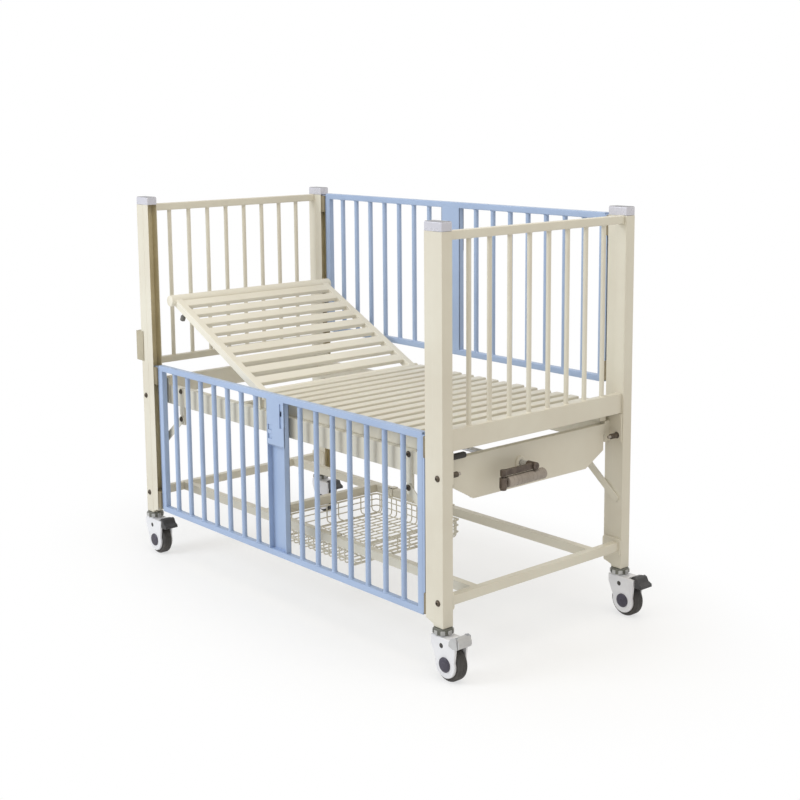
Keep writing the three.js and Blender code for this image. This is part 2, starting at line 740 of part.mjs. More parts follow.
function crankArm() {
  const hub = rod("x", HUB, armX - HUB_BACK, armX + HUB_FRONT);
  const half = ARM_THICK / 2;
  const bar = block(armX - half, armX + half, -ARM_RADIUS, 0, -ARM_WIDTH / 2, ARM_WIDTH / 2);
  const headTop = -gripDrop - KNUCKLE_HEIGHT / 2 - SEAT_GAP;
  const headLow = headTop - FOLD_HEAD_THICK;
  const fold = [
    rod("z", ARM_WIDTH, -ARM_WIDTH / 2, ARM_WIDTH / 2),
    rod("z", FOLD_PIN, headLow, 0),
    rod("z", FOLD_HEAD, headLow, headTop),
  ].map((part) => part.translate(armX, -ARM_RADIUS, 0));
  const noseEnd = armX - HUB_BACK + NOSE_LENGTH;
  const bore = rod("x", SPINDLE_NOSE + 2 * SEAT_GAP, armX - HUB_BACK - FUSE, noseEnd);
  return cut(weld(hub, bar, ...fold), bore);
}

// The grip bar and sleeve in the frame of the fold pin, folded back along the arm.
const gripEnd = GRIP_START + GRIP_LENGTH;

function gripBar() {
  const stopFace = gripEnd + SEAT_GAP;
  const bar = rod("y", GRIP_BAR, 0, stopFace + GRIP_STOP_THICK);
  const stop = rod("y", GRIP_STOP, stopFace, stopFace + GRIP_STOP_THICK);
  const knuckle = rod("z", KNUCKLE, -KNUCKLE_HEIGHT / 2, KNUCKLE_HEIGHT / 2);
  return cut(weld(bar, stop, knuckle), rod("z", FOLD_PIN + 2 * RUN_GAP, -KNUCKLE_HEIGHT, KNUCKLE_HEIGHT));
}

function gripSleeve() {
  return cut(rod("y", GRIP, GRIP_START, gripEnd), rod("y", GRIP_BAR + 2 * RUN_GAP, 0, gripEnd + FUSE));
}

function crankDrive() {
  const group = new THREE.Group();
  group.position.set(0, CRANK_OFFSET, crankZ);
  const forkLean = THREE.MathUtils.degToRad(BACK_MAX / 2 - BACK_ANGLE);
  const nut = piece("lift_nut", liftNut(), steel);
  nut.position.x = hingeX + (hingeZ - crankZ) * Math.tan(forkLean);
  const handle = new THREE.Group();
  handle.position.set(armX, -ARM_RADIUS, -gripDrop);
  handle.add(piece("crank_grip_bar", gripBar(), darkSteel));
  handle.add(piece("crank_grip", gripSleeve(), gripPlastic));
  group.add(piece("spindle_block", spindleBlock(), cream), piece("crank_bush", crankBush(), cream));
  group.add(piece("crank_spindle", crankSpindle(), steel), nut);
  group.add(piece("crank_arm", crankArm(), darkSteel), handle);
  return group;
}

function footApron() {
  const top = railTop - APRON_DROP;
  const sideLow = top - APRON_SIDE_HEIGHT;
  const low = top - APRON_HEIGHT;
  const shape = outline([
    [-APRON_HALF, top],
    [-APRON_HALF, sideLow],
    [-APRON_FOOT_HALF, low],
    [APRON_FOOT_HALF, low],
    [APRON_HALF, sideLow],
    [APRON_HALF, top],
  ]);
  const half = APRON_FOOT_HALF - FUSE;
  const lip = block(apronOuter - APRON_RETURN, apronOuter, -half, half, low, low + APRON_SHEET);
  const bore = rod("x", BUSH + 2 * SEAT_GAP, 0, LENGTH).translate(0, CRANK_OFFSET, crankZ);
  return cut(weld(endPlate(shape, apronInner, apronOuter), lip), bore);
}

function lowerFrame() {
  const low = LOWER_MIDDLE - LOWER_HEIGHT / 2;
  const high = LOWER_MIDDLE + LOWER_HEIGHT / 2;
  const plateOuter = innerFace - SEAT_GAP;
  const plateInner = plateOuter - FOOT_PLATE;
  const footShape = roundedOutline(FOOT_PLATE_WIDTH, FOOT_PLATE_HEIGHT, FOOT_PLATE_ROUND);
  const middle = column(LOWER_WIDTH, 2 * LOWER_RAIL_HALF, low, high);
  const solids = [middle.translate(hingeX + LOWER_CROSS, 0, 0)];
  for (const end of SIGNS) {
    const tube = column(LOWER_WIDTH, 2 * (plateInner + FUSE), low, high);
    solids.push(tube.translate(end * postX, 0, 0));
    for (const side of SIGNS) {
      const plate = sidePlate(footShape, ...range(side, plateInner, plateOuter));
      solids.push(plate.translate(end * postMiddle, 0, LOWER_MIDDLE));
    }
  }
  for (const side of SIGNS) {
    const rail = column(2 * postX, LOWER_WIDTH, low, high);
    solids.push(rail.translate(0, side * LOWER_RAIL_HALF, 0));
  }
  return weld(...solids);
}

// Places of the basket's wires
const basketStart = hingeX + LOWER_CROSS + LOWER_WIDTH / 2 + BASKET_END_GAP;
const basketEnd = basketStart + BASKET_LENGTH;
const basketHalf = LOWER_RAIL_HALF - LOWER_WIDTH / 2 - BASKET_SIDE_GAP;
const lowerTop = LOWER_MIDDLE + LOWER_HEIGHT / 2;
const basketTop = lowerTop - BASKET_SINK;
const basketLow = basketTop - BASKET_DEPTH;

// A square wire ring round the basket.
function basketRing(z, size) {
  const inset = basketHalf - size;
  return [
    block(basketStart, basketEnd, -basketHalf, -inset, z, z + size),
    block(basketStart, basketEnd, inset, basketHalf, z, z + size),
    block(basketStart, basketStart + size, -basketHalf, basketHalf, z, z + size),
    block(basketEnd - size, basketEnd, -basketHalf, basketHalf, z, z + size),
  ];
}

// A strap from the basket's rim up and over the lower rail.
function basketHook(x, side) {
  const roof = lowerTop + SEAT_GAP;
  const riser = range(side, basketHalf - HOOK_SHEET, basketHalf);
  const over = range(side, basketHalf - HOOK_SHEET, LOWER_RAIL_HALF + LOWER_WIDTH / 2);
  return [
    block(x, x + HOOK_WIDTH, ...riser, basketTop - FUSE, roof + HOOK_SHEET),
    block(x, x + HOOK_WIDTH, ...over, roof, roof + HOOK_SHEET),
  ];
}

function storageBasket() {
  const floorTop = basketLow + BASKET_WIRE;
  const wallTop = basketTop - FUSE;
  const wires = [...basketRing(basketTop - BASKET_RIM, BASKET_RIM)];
  wires.push(...basketRing((basketTop + basketLow) / 2, BASKET_WIRE));
  for (let i = 0; i < BASKET_RIBS; i++) {
    const x = basketStart + (i * (BASKET_LENGTH - BASKET_WIRE)) / (BASKET_RIBS - 1);
    wires.push(block(x, x + BASKET_WIRE, -basketHalf, basketHalf, basketLow, floorTop));
    for (const side of SIGNS) {
      const [y0, y1] = range(side, basketHalf - BASKET_WIRE, basketHalf);
      wires.push(block(x, x + BASKET_WIRE, y0, y1, basketLow, wallTop));
    }
  }
  for (let i = 0; i < BASKET_RUNNERS; i++) {
    const y = (i * (2 * basketHalf - BASKET_WIRE)) / (BASKET_RUNNERS - 1) - basketHalf;
    wires.push(block(basketStart, basketEnd, y, y + BASKET_WIRE, basketLow, floorTop));
    for (const x of [basketStart, basketEnd - BASKET_WIRE]) {
      wires.push(block(x, x + BASKET_WIRE, y, y + BASKET_WIRE, basketLow, wallTop));
    }
  }
  for (const side of SIGNS) {
    wires.push(...basketHook(basketStart + HOOK_INSET, side));
    wires.push(...basketHook(basketEnd - HOOK_INSET - HOOK_WIDTH, side));
  }
  return weld(...wires);
}

function poleSocket() {
  const back = -LENGTH / 2 - SEAT_GAP;
  const body = column(SOCKET_DEPTH, SOCKET_WIDTH, 0, SOCKET_HEIGHT);
  const bored = cut(body, rod("z", SOCKET_BORE, -FUSE, SOCKET_HEIGHT + FUSE));
  return bored.translate(back - SOCKET_DEPTH / 2, 0, 0);
}

// A caster in its own frame: the swivel line is the Z axis, and the wheel trails towards +X.
const axleZ = WHEEL / 2;
const cheekInner = WHEEL_WIDTH / 2 + CHEEK_GAP;
const cheekOuter = cheekInner + CHEEK;
const bridgeLow = CHEEK_TOP - BRIDGE_HEIGHT;
const collarTop = CASTER_HEIGHT - SEAT_GAP;
const collarLow = collarTop - SWIVEL_COLLAR_THICK;

function casterHead() {
  return weld(
    tubePlug(collarTop - FUSE, CASTER_HEIGHT + STEM_HEIGHT),
    rod("z", SWIVEL_COLLAR, collarLow, collarTop),
    rod("z", KINGPIN, bridgeLow, collarLow + FUSE),
  );
}

function cheekOutline() {
  const [from, to] = [CHEEK_ARC_START, CHEEK_ARC_END].map(THREE.MathUtils.degToRad);
  const shape = new THREE.Shape();
  shape.moveTo(CHEEK_BACK, CHEEK_TOP);
  shape.lineTo(CHEEK_FRONT, CHEEK_TOP);
  shape.absarc(TRAIL, axleZ, CHEEK_RADIUS, from, to, true);
  shape.lineTo(CHEEK_BACK, CHEEK_TOP - CHEEK_SHOULDER);
  return shape;
}

function casterShell() {
  const cheeks = SIGNS.map((side) => sidePlate(cheekOutline(), ...range(side, cheekInner, cheekOuter)));
  const bridge = column(BRIDGE_LENGTH, 2 * cheekInner + FUSE, bridgeLow, CHEEK_TOP);
  const boss = rod("z", SWIVEL_BOSS, bridgeLow + FUSE, collarLow - SEAT_GAP);
  const through = (size, x, z) => rod("y", size, -WIDTH, WIDTH).translate(x, 0, z);
  return cut(
    weld(...cheeks, bridge, boss),
    rod("z", KINGPIN + 2 * RUN_GAP, 0, CASTER_HEIGHT),
    through(AXLE + 2 * SEAT_GAP, TRAIL, axleZ),
    through(PEDAL_PIN + 2 * RUN_GAP, PEDAL_X, PEDAL_Z),
    through(CHEEK_EYE, CHEEK_EYE_X, CHEEK_EYE_Z),
  );
}

// The wheel stands on one of its facets.
function casterWheel() {
  const bore = AXLE / 2 + RUN_GAP;
  const facet = Math.PI / WHEEL_SEGMENTS;
  const rim = WHEEL / 2 / Math.cos(facet);
  const half = [
    [rim, WHEEL_TREAD / 2],
    [rim - WHEEL_SHOULDER, WHEEL_WIDTH / 2],
    [WHEEL_HUB / 2, WHEEL_WIDTH / 2],
    [WHEEL_HUB / 2, WHEEL_HUB_WIDTH / 2],
    [bore, WHEEL_HUB_WIDTH / 2],
  ];
  const mirrored = half.map(([r, y]) => [r, -y]).reverse();
  const profile = [...mirrored, ...half, mirrored[0]];
  const points = profile.map(([r, y]) => new THREE.Vector2(r, y));
  return new THREE.LatheGeometry(points, WHEEL_SEGMENTS, facet);
}

function casterAxle() {
  const face = cheekOuter + SEAT_GAP;
  const capFace = face + AXLE_CAP_THICK;
  const domeFace = capFace + AXLE_DOME_THICK;
  const caps = SIGNS.flatMap((side) => [
    rod("y", AXLE_CAP, ...range(side, face, capFace)),
    rod("y", AXLE_DOME, ...range(side, face, domeFace)),
  ]);
  return weld(rod("y", AXLE, -domeFace, domeFace), ...caps);
}

function casterPedal(points) {
  const tread = sidePlate(outline(points), -PEDAL_WIDTH / 2, PEDAL_WIDTH / 2);
  const cheekRoom = SIGNS.map((side) =>
    block(-WHEEL, PEDAL_NECK_END, ...range(side, PEDAL_NECK / 2, WHEEL), -WHEEL, WHEEL),
  );
  return weld(cut(tread, ...cheekRoom), rod("y", PEDAL_PIN, -cheekOuter, cheekOuter));
}

function caster(corner, pedalOutline, pedalFinish) {
  const group = new THREE.Group();
  const wheel = piece(`caster_wheel_${corner}`, casterWheel(), tyreRubber);
  wheel.position.set(TRAIL, 0, axleZ);
  const axle = piece(`caster_axle_${corner}`, casterAxle(), hubPlastic);
  axle.position.copy(wheel.position);
  const pedal = piece(`caster_pedal_${corner}`, casterPedal(pedalOutline), pedalFinish);
  pedal.position.set(PEDAL_X, 0, PEDAL_Z);
  group.add(piece(`caster_head_${corner}`, casterHead(), silver));
  group.add(piece(`caster_shell_${corner}`, casterShell(), shellPlastic), wheel, axle, pedal);
  return group;
}

const cot = new THREE.Group();
const frame = new THREE.Group();
frame.position.z = CASTER_HEIGHT;
cot.add(frame);

// Corners: post, cap, brace and caster
for (const [end, endSign] of Object.entries(ENDS)) {
  for (const [side, sideSign] of Object.entries(SIDES)) {
    const corner = `${end}_${side}`;
    const upright = new THREE.Group();
    upright.position.set(endSign * postX, sideSign * postY, 0);
    upright.rotation.z = endSign > 0 ? Math.PI : 0;
    const cap = piece(`post_cap_${corner}`, postCap(), silver);
    cap.position.z = POST_HEIGHT;
    upright.add(piece(`post_${corner}`, post(), cream), cap);
    frame.add(upright, piece(`brace_${corner}`, brace(endSign, sideSign), cream));
    const plain = corner === "foot_near";
    const foot = caster(corner, plain ? PLAIN_OUTLINE : BRAKE_OUTLINE, plain ? pedalGrey : pedalBlack);
    foot.position.set(endSign * postX, sideSign * postY, 0);
    cot.add(foot);
  }
}

// End frames
const headFrame = piece("head_end_frame", endFrame(HEAD_LOW_RAIL), cream);
headFrame.position.x = -postX;
const footFrame = piece("foot_end_frame", endFrame(FOOT_LOW_RAIL), cream);
footFrame.position.x = postX;
frame.add(headFrame, footFrame);

// Drop guards: the near one is down, the far one is up
const nearGuard = guard("near");
nearGuard.position.set(0, -postY, GUARD_LOW);
const farGuard = guard("far");
farGuard.position.set(0, postY, POST_HEIGHT + GUARD_RISE - GUARD_HEIGHT);
farGuard.rotation.z = Math.PI;
frame.add(nearGuard, farGuard);

// Bed with its flat deck, raised backrest and crank drive
const back = piece("backrest", backrest(), cream);
back.position.set(hingeX, 0, hingeZ);
back.rotation.y = THREE.MathUtils.degToRad(BACK_ANGLE);
frame.add(piece("bed_frame", bedFrame(), cream), piece("flat_deck", flatDeck(), cream), back);
for (const [side, sign] of Object.entries(SIDES)) {
  frame.add(piece(`hinge_pin_${side}`, hingePin(sign), steel));
}
frame.add(piece("foot_apron", footApron(), cream), crankDrive());

// Lower frame, basket and pole socket
const socket = piece("pole_socket", poleSocket(), cream);
socket.position.set(0, -postY, SOCKET_LOW);
frame.add(piece("lower_frame", lowerFrame(), cream), piece("storage_basket", storageBasket(), cream), socket);

export default cot;
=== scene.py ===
# Pediatric hospital cot: a cream steel frame on four casters, blue drop guards and a cranked backrest.
import math

import bmesh
import bpy
from mathutils import Matrix, Vector


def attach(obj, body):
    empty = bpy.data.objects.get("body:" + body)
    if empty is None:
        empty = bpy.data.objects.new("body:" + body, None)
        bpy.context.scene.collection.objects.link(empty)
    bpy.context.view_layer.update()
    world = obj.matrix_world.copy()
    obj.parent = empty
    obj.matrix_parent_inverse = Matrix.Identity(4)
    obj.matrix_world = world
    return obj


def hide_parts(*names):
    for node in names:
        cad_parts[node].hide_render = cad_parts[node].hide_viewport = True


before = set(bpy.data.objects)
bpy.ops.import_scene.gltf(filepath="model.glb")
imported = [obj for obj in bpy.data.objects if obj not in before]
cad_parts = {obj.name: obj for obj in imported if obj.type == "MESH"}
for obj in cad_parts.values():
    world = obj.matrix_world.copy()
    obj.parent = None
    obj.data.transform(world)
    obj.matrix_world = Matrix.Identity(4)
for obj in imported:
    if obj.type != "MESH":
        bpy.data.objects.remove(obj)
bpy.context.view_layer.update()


# Posts: four uprights of folded 2.5 mm steel, each a closed tube with an open channel for a guard.
# Welded along the tube and powder coated cream; two dark bolts in each post carry the frames.
POST_X, POST_Y = 0.740, 0.366
POST_OUT = 0.385
POST_FOOT, POST_TOP = 0.148, 1.212
TUBE_FOOT, FLANGE_FOOT = 0.143, 0.160
TUBE_BACK, TUBE_FRONT, CHANNEL_MOUTH = -0.020, 0.020, 0.050
POST_HALF, CHANNEL_HALF = 0.019, 0.0165
CHANNEL_STOP, STOP_DEEP = 0.0165, 0.008
CHANNEL_OUT = 0.0178
POST_BOLTS = (0.212, 0.556)
CORNERS = {"head_near": (-1, -1), "head_far": (-1, 1), "foot_near": (1, -1), "foot_far": (1, 1)}
BOLT_SECTION = ((0, 0.0022), (0.0030, 0.0022), (0.0035, 0.0052), (0.0053, 0.0047), (0.0067, 0.0031),
                (0.0071, 0.0015), (0.0088, 0.0013), (0.0091, 0), (0, 0))
BARREL_NUT = ((0, 0.0295), (0.0075, 0.0295), (0.0080, 0.0285), (0.0080, 0.0012), (0.0100, 0.0010),
              (0.0100, 0), (0, 0))
BOLT_TIP = ((0, 0.0400), (0.0042, 0.0400), (0.0050, 0.0390), (0.0050, 0.0290), (0, 0.0290))
NUT_SEAT = 0.0045
SHADE_SHEET, SHADE_SHEET_GAP = 0.0005, 0.001
WHITE, BLACK = (1, 1, 1, 1), (0, 0, 0, 1)


def roll(shape, edges, offset, segments=2):
    """Rounds edges over, as rolled or moulded edges are."""
    bmesh.ops.bevel(shape, geom=list(edges), offset=offset, offset_type="OFFSET", segments=segments,
                    profile=0.5, affect="EDGES", material=-1)


def soft_bar(shape, low, high, edge=0.002):
    """A straight bar between two corners, with all its edges rounded."""
    low, high = Vector(map(min, low, high)), Vector(map(max, low, high))
    place = Matrix.LocRotScale((low + high) / 2, None, high - low)
    corners = bmesh.ops.create_cube(shape, size=1.0, matrix=place)["verts"]
    roll(shape, {e for v in corners for e in v.link_edges}, edge)


def plate(shape, outline, thickness):
    """A flat plate: its outline closed into a face and drawn out by its thickness."""
    sheet = shape.faces.new([shape.verts.new(point) for point in outline])
    drawn = bmesh.ops.extrude_face_region(shape, geom=[sheet])["geom"]
    top = [v for v in drawn if isinstance(v, bmesh.types.BMVert)]
    bmesh.ops.translate(shape, vec=thickness, verts=top)
    return sheet, top


def aim(place, facing):
    """The place and turn of a part whose own Z axis looks along facing."""
    return Matrix.Translation(place) @ Vector(facing).to_track_quat("Z", "Y").to_matrix().to_4x4()


def turned(shape, section, place, facing, steps=20):
    """A lathe-turned part: its half section of (radius, height) points, spun round facing."""
    before = set(shape.verts)
    points = [shape.verts.new((radius, 0, height)) for radius, height in section]
    lines = [shape.edges.new(pair) for pair in zip(points, points[1:])]
    bmesh.ops.spin(shape, geom=points + lines, cent=(0, 0, 0), axis=(0, 0, 1), dvec=(0, 0, 0),
                   angle=2 * math.pi, steps=steps, use_merge=True)
    made = [v for v in shape.verts if v not in before]
    bmesh.ops.remove_doubles(shape, verts=made, dist=1e-6)
    made = [v for v in shape.verts if v not in before]
    bmesh.ops.transform(shape, matrix=aim(place, facing), verts=made)


def settle(shape, name, body, finish, slot, *stands_for, crease=35):
    """Makes a worked shape a piece: shaded, riding on its body and standing for its solids."""
    bmesh.ops.recalc_face_normals(shape, faces=shape.faces)
    mesh = bpy.data.meshes.new(name)
    shape.to_mesh(mesh)
    shape.free()
    mesh.polygons.foreach_set("use_smooth", [True] * len(mesh.polygons))
    mesh.set_sharp_from_angle(angle=math.radians(crease))
    mesh.materials.append(finish)
    piece = bpy.data.objects.new(name, mesh)
    bpy.context.scene.collection.objects.link(piece)
    piece.modifiers.new("even_shading", "WEIGHTED_NORMAL").keep_sharp = True
    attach(piece, body)
    if stands_for:
        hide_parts(*stands_for)
    return piece


def tone(red, green, blue):
    """A colour as it is seen, 0 to 255, in linear light."""
    return (*(((c / 255 + 0.055) / 1.055) ** 2.4 for c in (red, green, blue)), 1.0)


def wire_up(tree, kind, settings=None, **inputs):
    """A shader node with its inputs set to values or joined to other outputs."""
    made = tree.nodes.new("ShaderNode" + kind)
    for key, value in (settings or {}).items():
        setattr(made, key, value)
    for key, value in inputs.items():
        socket = made.inputs[int(key[1:])] if key[0] == "i" and key[1:].isdigit() else made.inputs[key]
        if isinstance(value, bpy.types.NodeSocket):
            tree.links.new(value, socket)
        else:
            socket.default_value = value
    return made


def ramp(tree, factor, *stops):
    """A ramp of (place, colour) stops read by one factor."""
    made = wire_up(tree, "ValToRGB", Fac=factor)
    marks = made.color_ramp.elements
    for mark, (place, colour) in zip(marks, stops):
        mark.position, mark.color = place, colour
    return made.outputs["Color"]


def finish(name, light, dark, gloss, grain, rubbed, metal=0.0, coat=0.0, drift=3.0, stretch=(1, 1, 1)):
    """A finish whose shade drifts, whose gloss varies, with a grain and with edges and specks rubbed.
    gloss is the roughness range, grain is (size per metre, depth in metres), rubbed is (colour, share)."""
    made = bpy.data.materials.new(name)
    made.use_nodes = True
    tree = made.node_tree
    shader = tree.nodes["Principled BSDF"]
    shader.inputs["Metallic"].default_value = metal
    shader.inputs["Coat Weight"].default_value = coat
    shader.inputs["Coat Roughness"].default_value = 0.25
    place = wire_up(tree, "TexCoord").outputs["Object"]
    along = wire_up(tree, "Mapping", Vector=place, Scale=stretch).outputs["Vector"]
    slow = wire_up(tree, "TexNoise", Vector=place, Scale=drift, Detail=4.0, Roughness=0.6).outputs["Fac"]
    shade = ramp(tree, slow, (0.34, dark), (0.62, light))
    fine = wire_up(tree, "TexNoise", Vector=along, Scale=38.0, Detail=6.0, Roughness=0.7).outputs["Fac"]
    turned_over = wire_up(tree, "Bevel", {"samples": 4}, Radius=0.0025).outputs["Normal"]
    flat = wire_up(tree, "NewGeometry").outputs["Normal"]
    level = wire_up(tree, "VectorMath", {"operation": "DOT_PRODUCT"}, i0=turned_over, i1=flat)
    most = (rubbed[1], rubbed[1], rubbed[1], 1)
    edge = ramp(tree, level.outputs["Value"], (0.90, most), (0.995, BLACK))
    broken = ramp(tree, fine, (0.47, BLACK), (0.62, WHITE))
    worn = wire_up(tree, "Math", {"operation": "MULTIPLY"}, i0=edge, i1=broken).outputs["Value"]
    speck = ramp(tree, fine, (0.70, BLACK), (0.78, most))
    share = wire_up(tree, "Math", {"operation": "MAXIMUM"}, i0=worn, i1=speck).outputs["Value"]
    seen = wire_up(tree, "MixRGB", Fac=share, Color1=shade, Color2=rubbed[0]).outputs["Color"]
    tree.links.new(seen, shader.inputs["Base Color"])
    dull = wire_up(tree, "MapRange", Value=fine, i1=0.3, i2=0.7, i3=gloss[0], i4=gloss[1]).outputs["Result"]
    tree.links.new(dull, shader.inputs["Roughness"])
    peel = wire_up(tree, "TexNoise", Vector=along, Scale=grain[0], Detail=2.0).outputs["Fac"]
    raised = wire_up(tree, "Bump", Strength=0.5, Distance=grain[1], Height=peel).outputs["Normal"]
    tree.links.new(raised, shader.inputs["Normal"])
    return made


cream_coat = finish("cream_powder_coat", tone(217, 212, 196), tone(210, 203, 186), (0.36, 0.52),
                    (750.0, 0.0002), (tone(230, 226, 214), 0.5), coat=0.12)
# Painted shade: a darker tan than the cream coat, for the shaded insides of the post channels.
tan_channel_shade = finish("tan_channel_shade", tone(204, 193, 160), tone(192, 180, 146), (0.6, 0.8), (500.0, 0.0003),
                   (tone(170, 160, 130), 0.4), drift=12.0)
grey_zinc = finish("grey_zinc", tone(176, 168, 158), tone(150, 142, 133), (0.35, 0.55), (900.0, 0.0001),
                   (tone(120, 114, 108), 0.5), metal=0.5, drift=60.0)
dark_zinc = finish("dark_zinc", tone(98, 88, 76), tone(72, 64, 54), (0.32, 0.55), (900.0, 0.0001),
                   (tone(140, 134, 128), 0.6), metal=0.7, drift=60.0)

for corner, (end, side) in CORNERS.items():
    post = bmesh.new()
    soft_bar(post, (TUBE_BACK, -POST_HALF, TUBE_FOOT), (TUBE_FRONT, POST_HALF, POST_TOP), 0.0025)
    for flange in (-1, 1):
        before = set(post.edges)
        root = TUBE_FRONT - 0.004
        outline = ((root, POST_FOOT), (CHANNEL_MOUTH, FLANGE_FOOT), (CHANNEL_MOUTH, POST_TOP), (root, POST_TOP))
        plate(post, [(x, flange * CHANNEL_HALF, z) for x, z in outline],
              (0, flange * (CHANNEL_OUT - CHANNEL_HALF), 0))
        roll(post, [e for e in post.edges if e not in before], 0.0005)
    stop_top = POST_FOOT + CHANNEL_STOP
    soft_bar(post, (TUBE_FRONT - 0.001, -CHANNEL_HALF, stop_top - STOP_DEEP),
             (CHANNEL_MOUTH - 0.0012, CHANNEL_HALF, stop_top), 0.001)
    turn = Matrix.Rotation(math.pi if end > 0 else 0, 4, "Z")
    stand = Matrix.Translation((end * POST_X, side * POST_Y, 0)) @ turn
    bmesh.ops.transform(post, matrix=stand, verts=post.verts)
    settle(post, f"post_tube_{corner}", "cot_frame", cream_coat, "cream_paint", f"post_{corner}")

bolts, tips = bmesh.new(), bmesh.new()
for end, side in CORNERS.values():
    for height in POST_BOLTS:
        turned(bolts, BOLT_SECTION, (end * POST_X, side * POST_OUT, height), (0, side, 0))
    seat = (end * POST_X, side * (POST_OUT - 2 * POST_HALF - NUT_SEAT), POST_BOLTS[1])
    turned(bolts, BARREL_NUT, seat, (0, -side, 0), 18)
    turned(tips, BOLT_TIP, seat, (0, -side, 0), 18)
settle(bolts, "post_bolts", "cot_frame", dark_zinc, "dark_steel")
settle(tips, "post_bolt_tips", "cot_frame", grey_zinc, "bright_steel")

# Painted shade: thin tan sheets laid inside each channel darken it as shade in a deep channel does; they stand for
# shade, not for a part.
shade_liners = bmesh.new()
for end, side in CORNERS.values():
    floor_x, mouth_x = end * (POST_X - TUBE_FRONT), end * (POST_X - CHANNEL_MOUTH + SHADE_SHEET_GAP)
    low, high = POST_FOOT + CHANNEL_STOP + SHADE_SHEET_GAP, POST_TOP - SHADE_SHEET_GAP
    for wall in (-CHANNEL_HALF, CHANNEL_HALF):
        outer = side * POST_Y + wall
        soft_bar(shade_liners, (floor_x, outer, low), (mouth_x, outer - math.copysign(SHADE_SHEET, wall), high), SHADE_SHEET / 4)
    soft_bar(shade_liners, (floor_x, side * POST_Y - CHANNEL_HALF + SHADE_SHEET, low),
             (floor_x - end * SHADE_SHEET, side * POST_Y + CHANNEL_HALF - SHADE_SHEET, high), SHADE_SHEET / 4)
settle(shade_liners, "channel_shade_liners", "cot_frame", tan_channel_shade, "nylon")


# Post caps: moulded plastic plugs, silver grey, pressed into the tops of the posts.
# Each has a rounded crown that covers the tube and its channel, and a fine parting groove.
CAP_LOW, CAP_TOP = 1.2123, 1.2378
CAP_ROUND = 0.004
silver_cap = finish("silver_cap", tone(203, 202, 210), tone(194, 193, 201), (0.22, 0.36), (1400.0, 0.00008),
                    (tone(214, 213, 219), 0.3), metal=0.2, drift=12.0)
tree = silver_cap.node_tree
shader = tree.nodes["Principled BSDF"]
side_shade = shader.inputs["Base Color"].links[0].from_socket
# Painted shade: faces that look upwards are painted a dark grey, darker than the sides, for the shade seen on the
# crowns.
up = wire_up(tree, "SeparateXYZ", Vector=wire_up(tree, "NewGeometry").outputs["Normal"]).outputs["Z"]
top_shade_mask = ramp(tree, up, (0.55, BLACK), (0.9, WHITE))
painted_shade_top = wire_up(tree, "MixRGB", Fac=top_shade_mask, Color1=side_shade, Color2=tone(112, 112, 118)).outputs["Color"]
tree.links.new(painted_shade_top, shader.inputs["Base Color"])

for corner, (end, side) in CORNERS.items():
    cap = bmesh.new()
    crown = [(TUBE_BACK, -POST_HALF), (CHANNEL_MOUTH, -POST_HALF), (CHANNEL_MOUTH, POST_HALF), (TUBE_BACK, POST_HALF)]
    plate(cap, [(x, y, CAP_LOW) for x, y in crown], (0, 0, CAP_TOP - CAP_LOW))
    roll(cap, [e for e in cap.edges if max(v.co.z for v in e.verts) > CAP_TOP - 0.001], CAP_ROUND, 4)
    soft_bar(cap, (TUBE_BACK + 0.0032, -CHANNEL_HALF + 0.0005, CAP_LOW - 0.02),
             (TUBE_FRONT - 0.0032, CHANNEL_HALF - 0.0005, CAP_LOW + 0.002), 0.001)
    turn = Matrix.Rotation(math.pi if end > 0 else 0, 4, "Z")
    bmesh.ops.transform(cap, matrix=Matrix.Translation((end * POST_X, side * POST_Y, 0)) @ turn, verts=cap.verts)
    settle(cap, f"cap_{corner}", "cot_frame", silver_cap, "silver_plastic", f"post_cap_{corner}")


# End frames: a top rail and a lower rail of square tube with eight round bars welded between them.
# The foot end's lower rail is a deep box section; both frames are welded to the posts and coated cream.
RAIL_HALF = 0.3467
END_RAIL = 0.012
END_TOP_LOW, END_LOW_TOP = 1.188, 0.684
LOW_RAIL = {"head": 0.662, "foot": 0.624}
END_BAR = 0.007
END_BARS = 8
WELD = 0.0022


def round_bar(shape, start, end, radius, sides=20):
    """A round bar between two points."""
    start, end = Vector(start), Vector(end)
    bmesh.ops.create_cone(shape, cap_ends=True, segments=sides, radius1=radius, radius2=radius,
                          depth=(end - start).length, matrix=aim((start + end) / 2, end - start))


def weld_ring(shape, foot, away, radius):
    """The fillet of weld where a round bar meets a rail, from its foot outwards."""
    middle = Vector(foot) + Vector(away) * WELD / 2
    bmesh.ops.create_cone(shape, cap_ends=True, segments=20, radius1=radius + WELD, radius2=radius,
                          depth=WELD, matrix=aim(middle, away))


def barred(shape, x, y, low, high, radius):
    """An upright bar with a weld ring at each end."""
    round_bar(shape, (x, y, low - 0.002), (x, y, high + 0.002), radius)
    weld_ring(shape, (x, y, low), (0, 0, 1), radius)
    weld_ring(shape, (x, y, high), (0, 0, -1), radius)


for end, sign in (("head", -1), ("foot", 1)):
    ladder = bmesh.new()
    x = sign * POST_X
    for low, high in ((END_TOP_LOW, POST_TOP), (LOW_RAIL[end], END_LOW_TOP)):
        soft_bar(ladder, (x - END_RAIL, -RAIL_HALF, low), (x + END_RAIL, RAIL_HALF, high), 0.003)
        for side in (-1, 1):
            soft_bar(ladder, (x - END_RAIL - 0.001, side * (RAIL_HALF - WELD), low - 0.001),
                     (x + END_RAIL + 0.001, side * RAIL_HALF, high + 0.001), 0.001)
    for i in range(1, END_BARS + 1):
        y = i * 2 * 0.347 / (END_BARS + 1) - 0.347
        barred(ladder, x, y, END_LOW_TOP, END_TOP_LOW, END_BAR)
    settle(ladder, f"{end}_end_ladder", "cot_frame", cream_coat, "cream_paint", f"{end}_end_frame")


